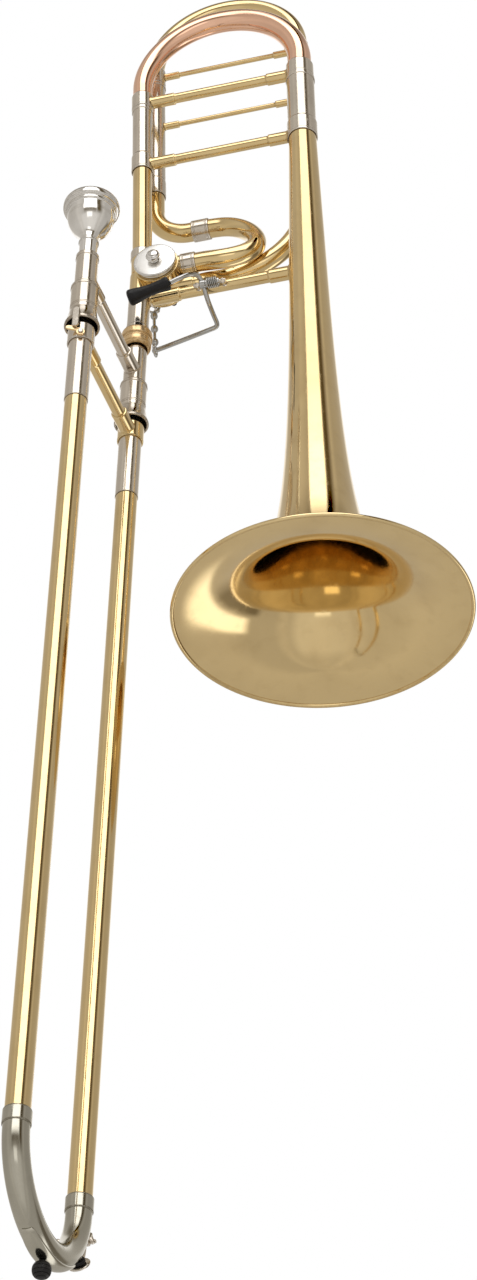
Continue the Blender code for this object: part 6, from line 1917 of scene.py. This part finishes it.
@dataclass
class Studio:
    """White background, pale floor, three soft lamps and the camera."""

    place: tuple[float, float, float] = (0.32974, -1.62910, -1.35696)
    right: tuple[float, float, float] = (0.96958, 0.24423, -0.01642)
    down: tuple[float, float, float] = (-0.16562, 0.60514, -0.7787)
    ahead: tuple[float, float, float] = (-0.18024, 0.75773, 0.62718)
    lens: float = 91.061
    floor_z: float = -1.1300
    aim: tuple[float, float, float] = (-0.06, 0.0, 0.1)
    facing: tuple[float, float] = (0.2314, -0.9729)
    walls: tuple[tuple[float, float], ...] = (
        (-180.0, 0.50), (-140.0, 0.56), (-112.0, 0.52), (-74.0, 0.53), (-60.0, 0.62), (-44.0, 0.56),
        (-33.0, 0.50), (0.0, 0.56), (33.0, 0.52), (52.0, 0.50), (61.0, 0.56), (74.0, 0.45), (112.0, 0.46),
        (140.0, 0.54), (180.0, 0.50))
    warmth: Colour = (1.0, 0.945, 0.865)
    patches: tuple[Patch, ...] = (
        Patch("front_light", 1.85, ((-31.0, 0.0), (-27.0, 1.0), (27.0, 1.0), (31.0, 0.0)),
              ((0.22, 0.0), (0.40, 1.0), (0.70, 1.0), (0.735, 0.92), (0.748, 0.62), (0.765, 0.80),
               (0.80, 1.0), (0.88, 1.0), (0.95, 0.30), (1.0, 0.25))),
        Patch("dark_below_light", -0.30, ((-31.0, 0.0), (-25.0, 1.0), (25.0, 1.0), (31.0, 0.0)),
              ((-0.10, 0.0), (0.14, 1.0), (0.26, 1.0), (0.36, 0.0))),
        Patch("gap_beside_light", -0.40, ((30.0, 0.0), (35.0, 1.0), (45.0, 1.0), (52.0, 0.45), (60.0, 0.0)),
              ((-0.05, 0.0), (0.20, 1.0), (1.0, 1.0))),
        Patch("table_light", 0.14, ((-50.0, 0.0), (-36.0, 1.0), (36.0, 1.0), (50.0, 0.0)),
              ((-0.97, 0.0), (-0.88, 1.0), (-0.14, 1.0), (0.0, 0.0))),
        Patch("small_window", 0.55, ((-17.0, 0.0), (-13.0, 1.0), (9.0, 1.0), (13.0, 0.0)),
              ((-0.34, 0.0), (-0.28, 1.0), (-0.04, 1.0), (0.0, 0.0))),
        Patch("side_light", 1.10, ((108.0, 0.0), (118.0, 1.0), (164.0, 1.0), (171.0, 0.0)),
              ((-0.64, 0.0), (-0.60, 1.0), (-0.42, 1.0), (-0.36, 0.0))),
        Patch("side_shade", -0.30, ((96.0, 0.0), (106.0, 1.0), (150.0, 1.0), (160.0, 0.0)),
              ((-0.36, 0.0), (-0.28, 1.0), (0.02, 1.0), (0.15, 0.0))),
        Patch("backdrop", 0.50, ((-180.0, 1.0), (-153.0, 1.0), (-140.0, 0.0), (140.0, 0.0), (153.0, 1.0),
                                 (180.0, 1.0)), ((0.25, 0.0), (0.42, 1.0), (0.90, 1.0), (0.97, 0.0))),
        Patch("dark_ceiling", -0.28, ((-180.0, 1.0), (180.0, 1.0)), ((0.84, 0.0), (0.96, 1.0))),
        Patch("light_from_floor", 0.06, ((-180.0, 1.0), (180.0, 1.0)), ((-0.5, 1.0), (0.1, 0.0))),
    )

    def camera(self) -> None:
        """Put the camera where the photograph was taken from."""
        lens = bpy.data.cameras.new("photo_view")
        lens.lens = self.lens
        lens.sensor_width = 36.0
        lens.clip_start = 0.05
        lens.clip_end = 50.0
        item = set_out("photo_view", lens)
        turn = Matrix((self.right, [-v for v in self.down], [-v for v in self.ahead])).transposed().to_4x4()
        item.matrix_world = Matrix.Translation(self.place) @ turn
        bpy.context.scene.camera = item

    @staticmethod
    def ramp(bench: NodeBench, value: bpy.types.NodeSocket, stops: Iterable[tuple[float, float]], low: float,
             high: float, tint: Colour = (1.0, 1.0, 1.0)) -> bpy.types.NodeSocket:
        """Look a value up in a list of levels.

        Args:
            bench: Tree to add to.
            value: Socket with the value.
            stops: Value and level pairs.
            low: Lowest value.
            high: Highest value.
            tint: Colour of a level of one.

        Returns:
            The level as a colour.
        """
        node = bench.add("ShaderNodeValToRGB")
        stops = list(stops)
        ramp = node.color_ramp
        while len(ramp.elements) < len(stops):
            ramp.elements.new(0.5)
        for element, (place, level) in zip(ramp.elements, stops):
            element.position = (place - low) / (high - low)
            element.color = (level * tint[0], level * tint[1], level * tint[2], 1.0)
        bench.join(bench.spread(value, low, high), node.inputs["Fac"])
        return node.outputs["Color"]

    def world(self) -> None:
        """White for the camera, and for all else a room with a front light, a backdrop and side walls."""
        world = bpy.data.worlds.new("studio")
        bpy.context.scene.world = world
        world.use_nodes = True
        world.node_tree.nodes.clear()
        bench = NodeBench(world.node_tree)
        axes = bench.add("ShaderNodeSeparateXYZ")
        bench.join(bench.add("ShaderNodeTexCoord").outputs["Generated"], axes.inputs[0])
        x, y, z = axes.outputs
        fx, fy = self.facing
        front = bench.reckon("ADD", bench.reckon("MULTIPLY", x, fx), bench.reckon("MULTIPLY", y, fy))
        side = bench.reckon("SUBTRACT", bench.reckon("MULTIPLY", y, fx), bench.reckon("MULTIPLY", x, fy))
        angle = bench.reckon("MULTIPLY", bench.reckon("ARCTAN2", side, front), 180.0 / math.pi)
        level = self.ramp(bench, angle, self.walls, -180.0, 180.0, self.warmth)
        for patch in self.patches:
            share = bench.add("ShaderNodeVectorMath", operation="MULTIPLY", label=patch.name)
            bench.join(self.ramp(bench, angle, patch.around, -180.0, 180.0), share.inputs[0])
            bench.join(self.ramp(bench, z, patch.height, -1.0, 1.0), share.inputs[1])
            total = bench.add("ShaderNodeVectorMath", operation="MULTIPLY_ADD")
            bench.join(share.outputs[0], total.inputs[0])
            total.inputs[1].default_value = (patch.level,) * 3
            bench.join(level, total.inputs[2])
            level = total.outputs[0]
        seen = bench.add("ShaderNodeLightPath").outputs["Is Camera Ray"]
        room = bench.add("ShaderNodeBackground")
        room.inputs["Strength"].default_value = 1.0
        bench.join(level, room.inputs["Color"])
        white = bench.add("ShaderNodeBackground")
        white.inputs["Color"].default_value = (1.0, 1.0, 1.0, 1.0)
        white.inputs["Strength"].default_value = 1.0
        choice = bench.choose(seen, room.outputs[0], white.outputs[0])
        bench.join(choice, bench.add("ShaderNodeOutputWorld").inputs["Surface"])

    def floor(self) -> None:
        """Pale floor under the fully drawn slide, white further out; it can be seen only from above."""
        made = bpy.data.materials.new("pale_floor")
        made.use_nodes = True
        made.node_tree.nodes.clear()
        bench = NodeBench(made.node_tree)
        paper = bench.add("ShaderNodeBsdfDiffuse")
        place = bench.add("ShaderNodeTexCoord").outputs["Object"]
        tone = bench.blend(bench.noise(place, 3.0, 2.0), (0.90, 0.90, 0.90), (0.94, 0.94, 0.94))
        bench.join(tone, paper.inputs["Color"])
        reach = bench.add("ShaderNodeVectorMath", operation="LENGTH")
        bench.join(place, reach.inputs[0])
        seen = bench.add("ShaderNodeLightPath").outputs["Is Camera Ray"]
        white = bench.add("ShaderNodeEmission")
        far = bench.reckon("MULTIPLY", bench.spread(reach.outputs["Value"], 0.7, 2.2), seen)
        sheet = bench.choose(far, paper.outputs[0], white.outputs[0])
        below = bench.add("ShaderNodeNewGeometry").outputs["Backfacing"]
        choice = bench.choose(below, sheet, bench.add("ShaderNodeBsdfTransparent").outputs[0])
        bench.join(choice, bench.add("ShaderNodeOutputMaterial").inputs["Surface"])
        build = bmesh.new()
        bmesh.ops.create_grid(build, x_segments=4, y_segments=4, size=4.0)
        mesh = bpy.data.meshes.new("floor")
        build.to_mesh(mesh)
        build.free()
        mesh.materials.append(made)
        item = set_out("floor", mesh)
        item.location = (0.0, 0.0, self.floor_z)
        item.visible_glossy = False
        item.visible_transmission = False
        item.visible_shadow = False

    def lamps(self) -> None:
        """Three soft lamps that metal doesn't mirror."""
        for name, place, power, size in (
            ("key_lamp", (1.6, -2.2, 2.2), 30.0, 2.0),
            ("fill_lamp", (-2.2, -1.4, 1.5), 14.0, 1.6),
            ("low_lamp", (0.6, -2.2, -2.0), 12.0, 1.6),
        ):
            light = bpy.data.lights.new(name, "AREA")
            light.energy = power
            light.size = size
            item = set_out(name, light)
            item.location = place
            target = Vector(self.aim) - Vector(place)
            item.rotation_euler = target.to_track_quat("-Z", "Y").to_euler()
            item.visible_glossy = False

    def build(self) -> None:
        """Set the studio up."""
        self.camera()
        self.world()
        self.floor()
        self.lamps()
        bpy.context.scene.view_settings.view_transform = "Standard"


def main() -> None:
    """Build every sub-assembly and the studio."""
    logging.basicConfig(level=logging.INFO, format="%(name)s: %(message)s")
    Studio().build()
    shop = Workshop()
    Bell().build(shop)
    TuningSlide().build(shop)
    NeckPipe().build(shop)
    ValveLoop().build(shop)
    valve = RotaryValve()
    valve.build(shop)
    ThumbTrigger().build(shop, valve)
    SlideLock().build(shop)
    slide = HandSlide()
    slide.build(shop)
    WaterKey().build(shop, slide)
    Mouthpiece().build(shop)
    shop.report()


if __name__ == "__main__":
    main()
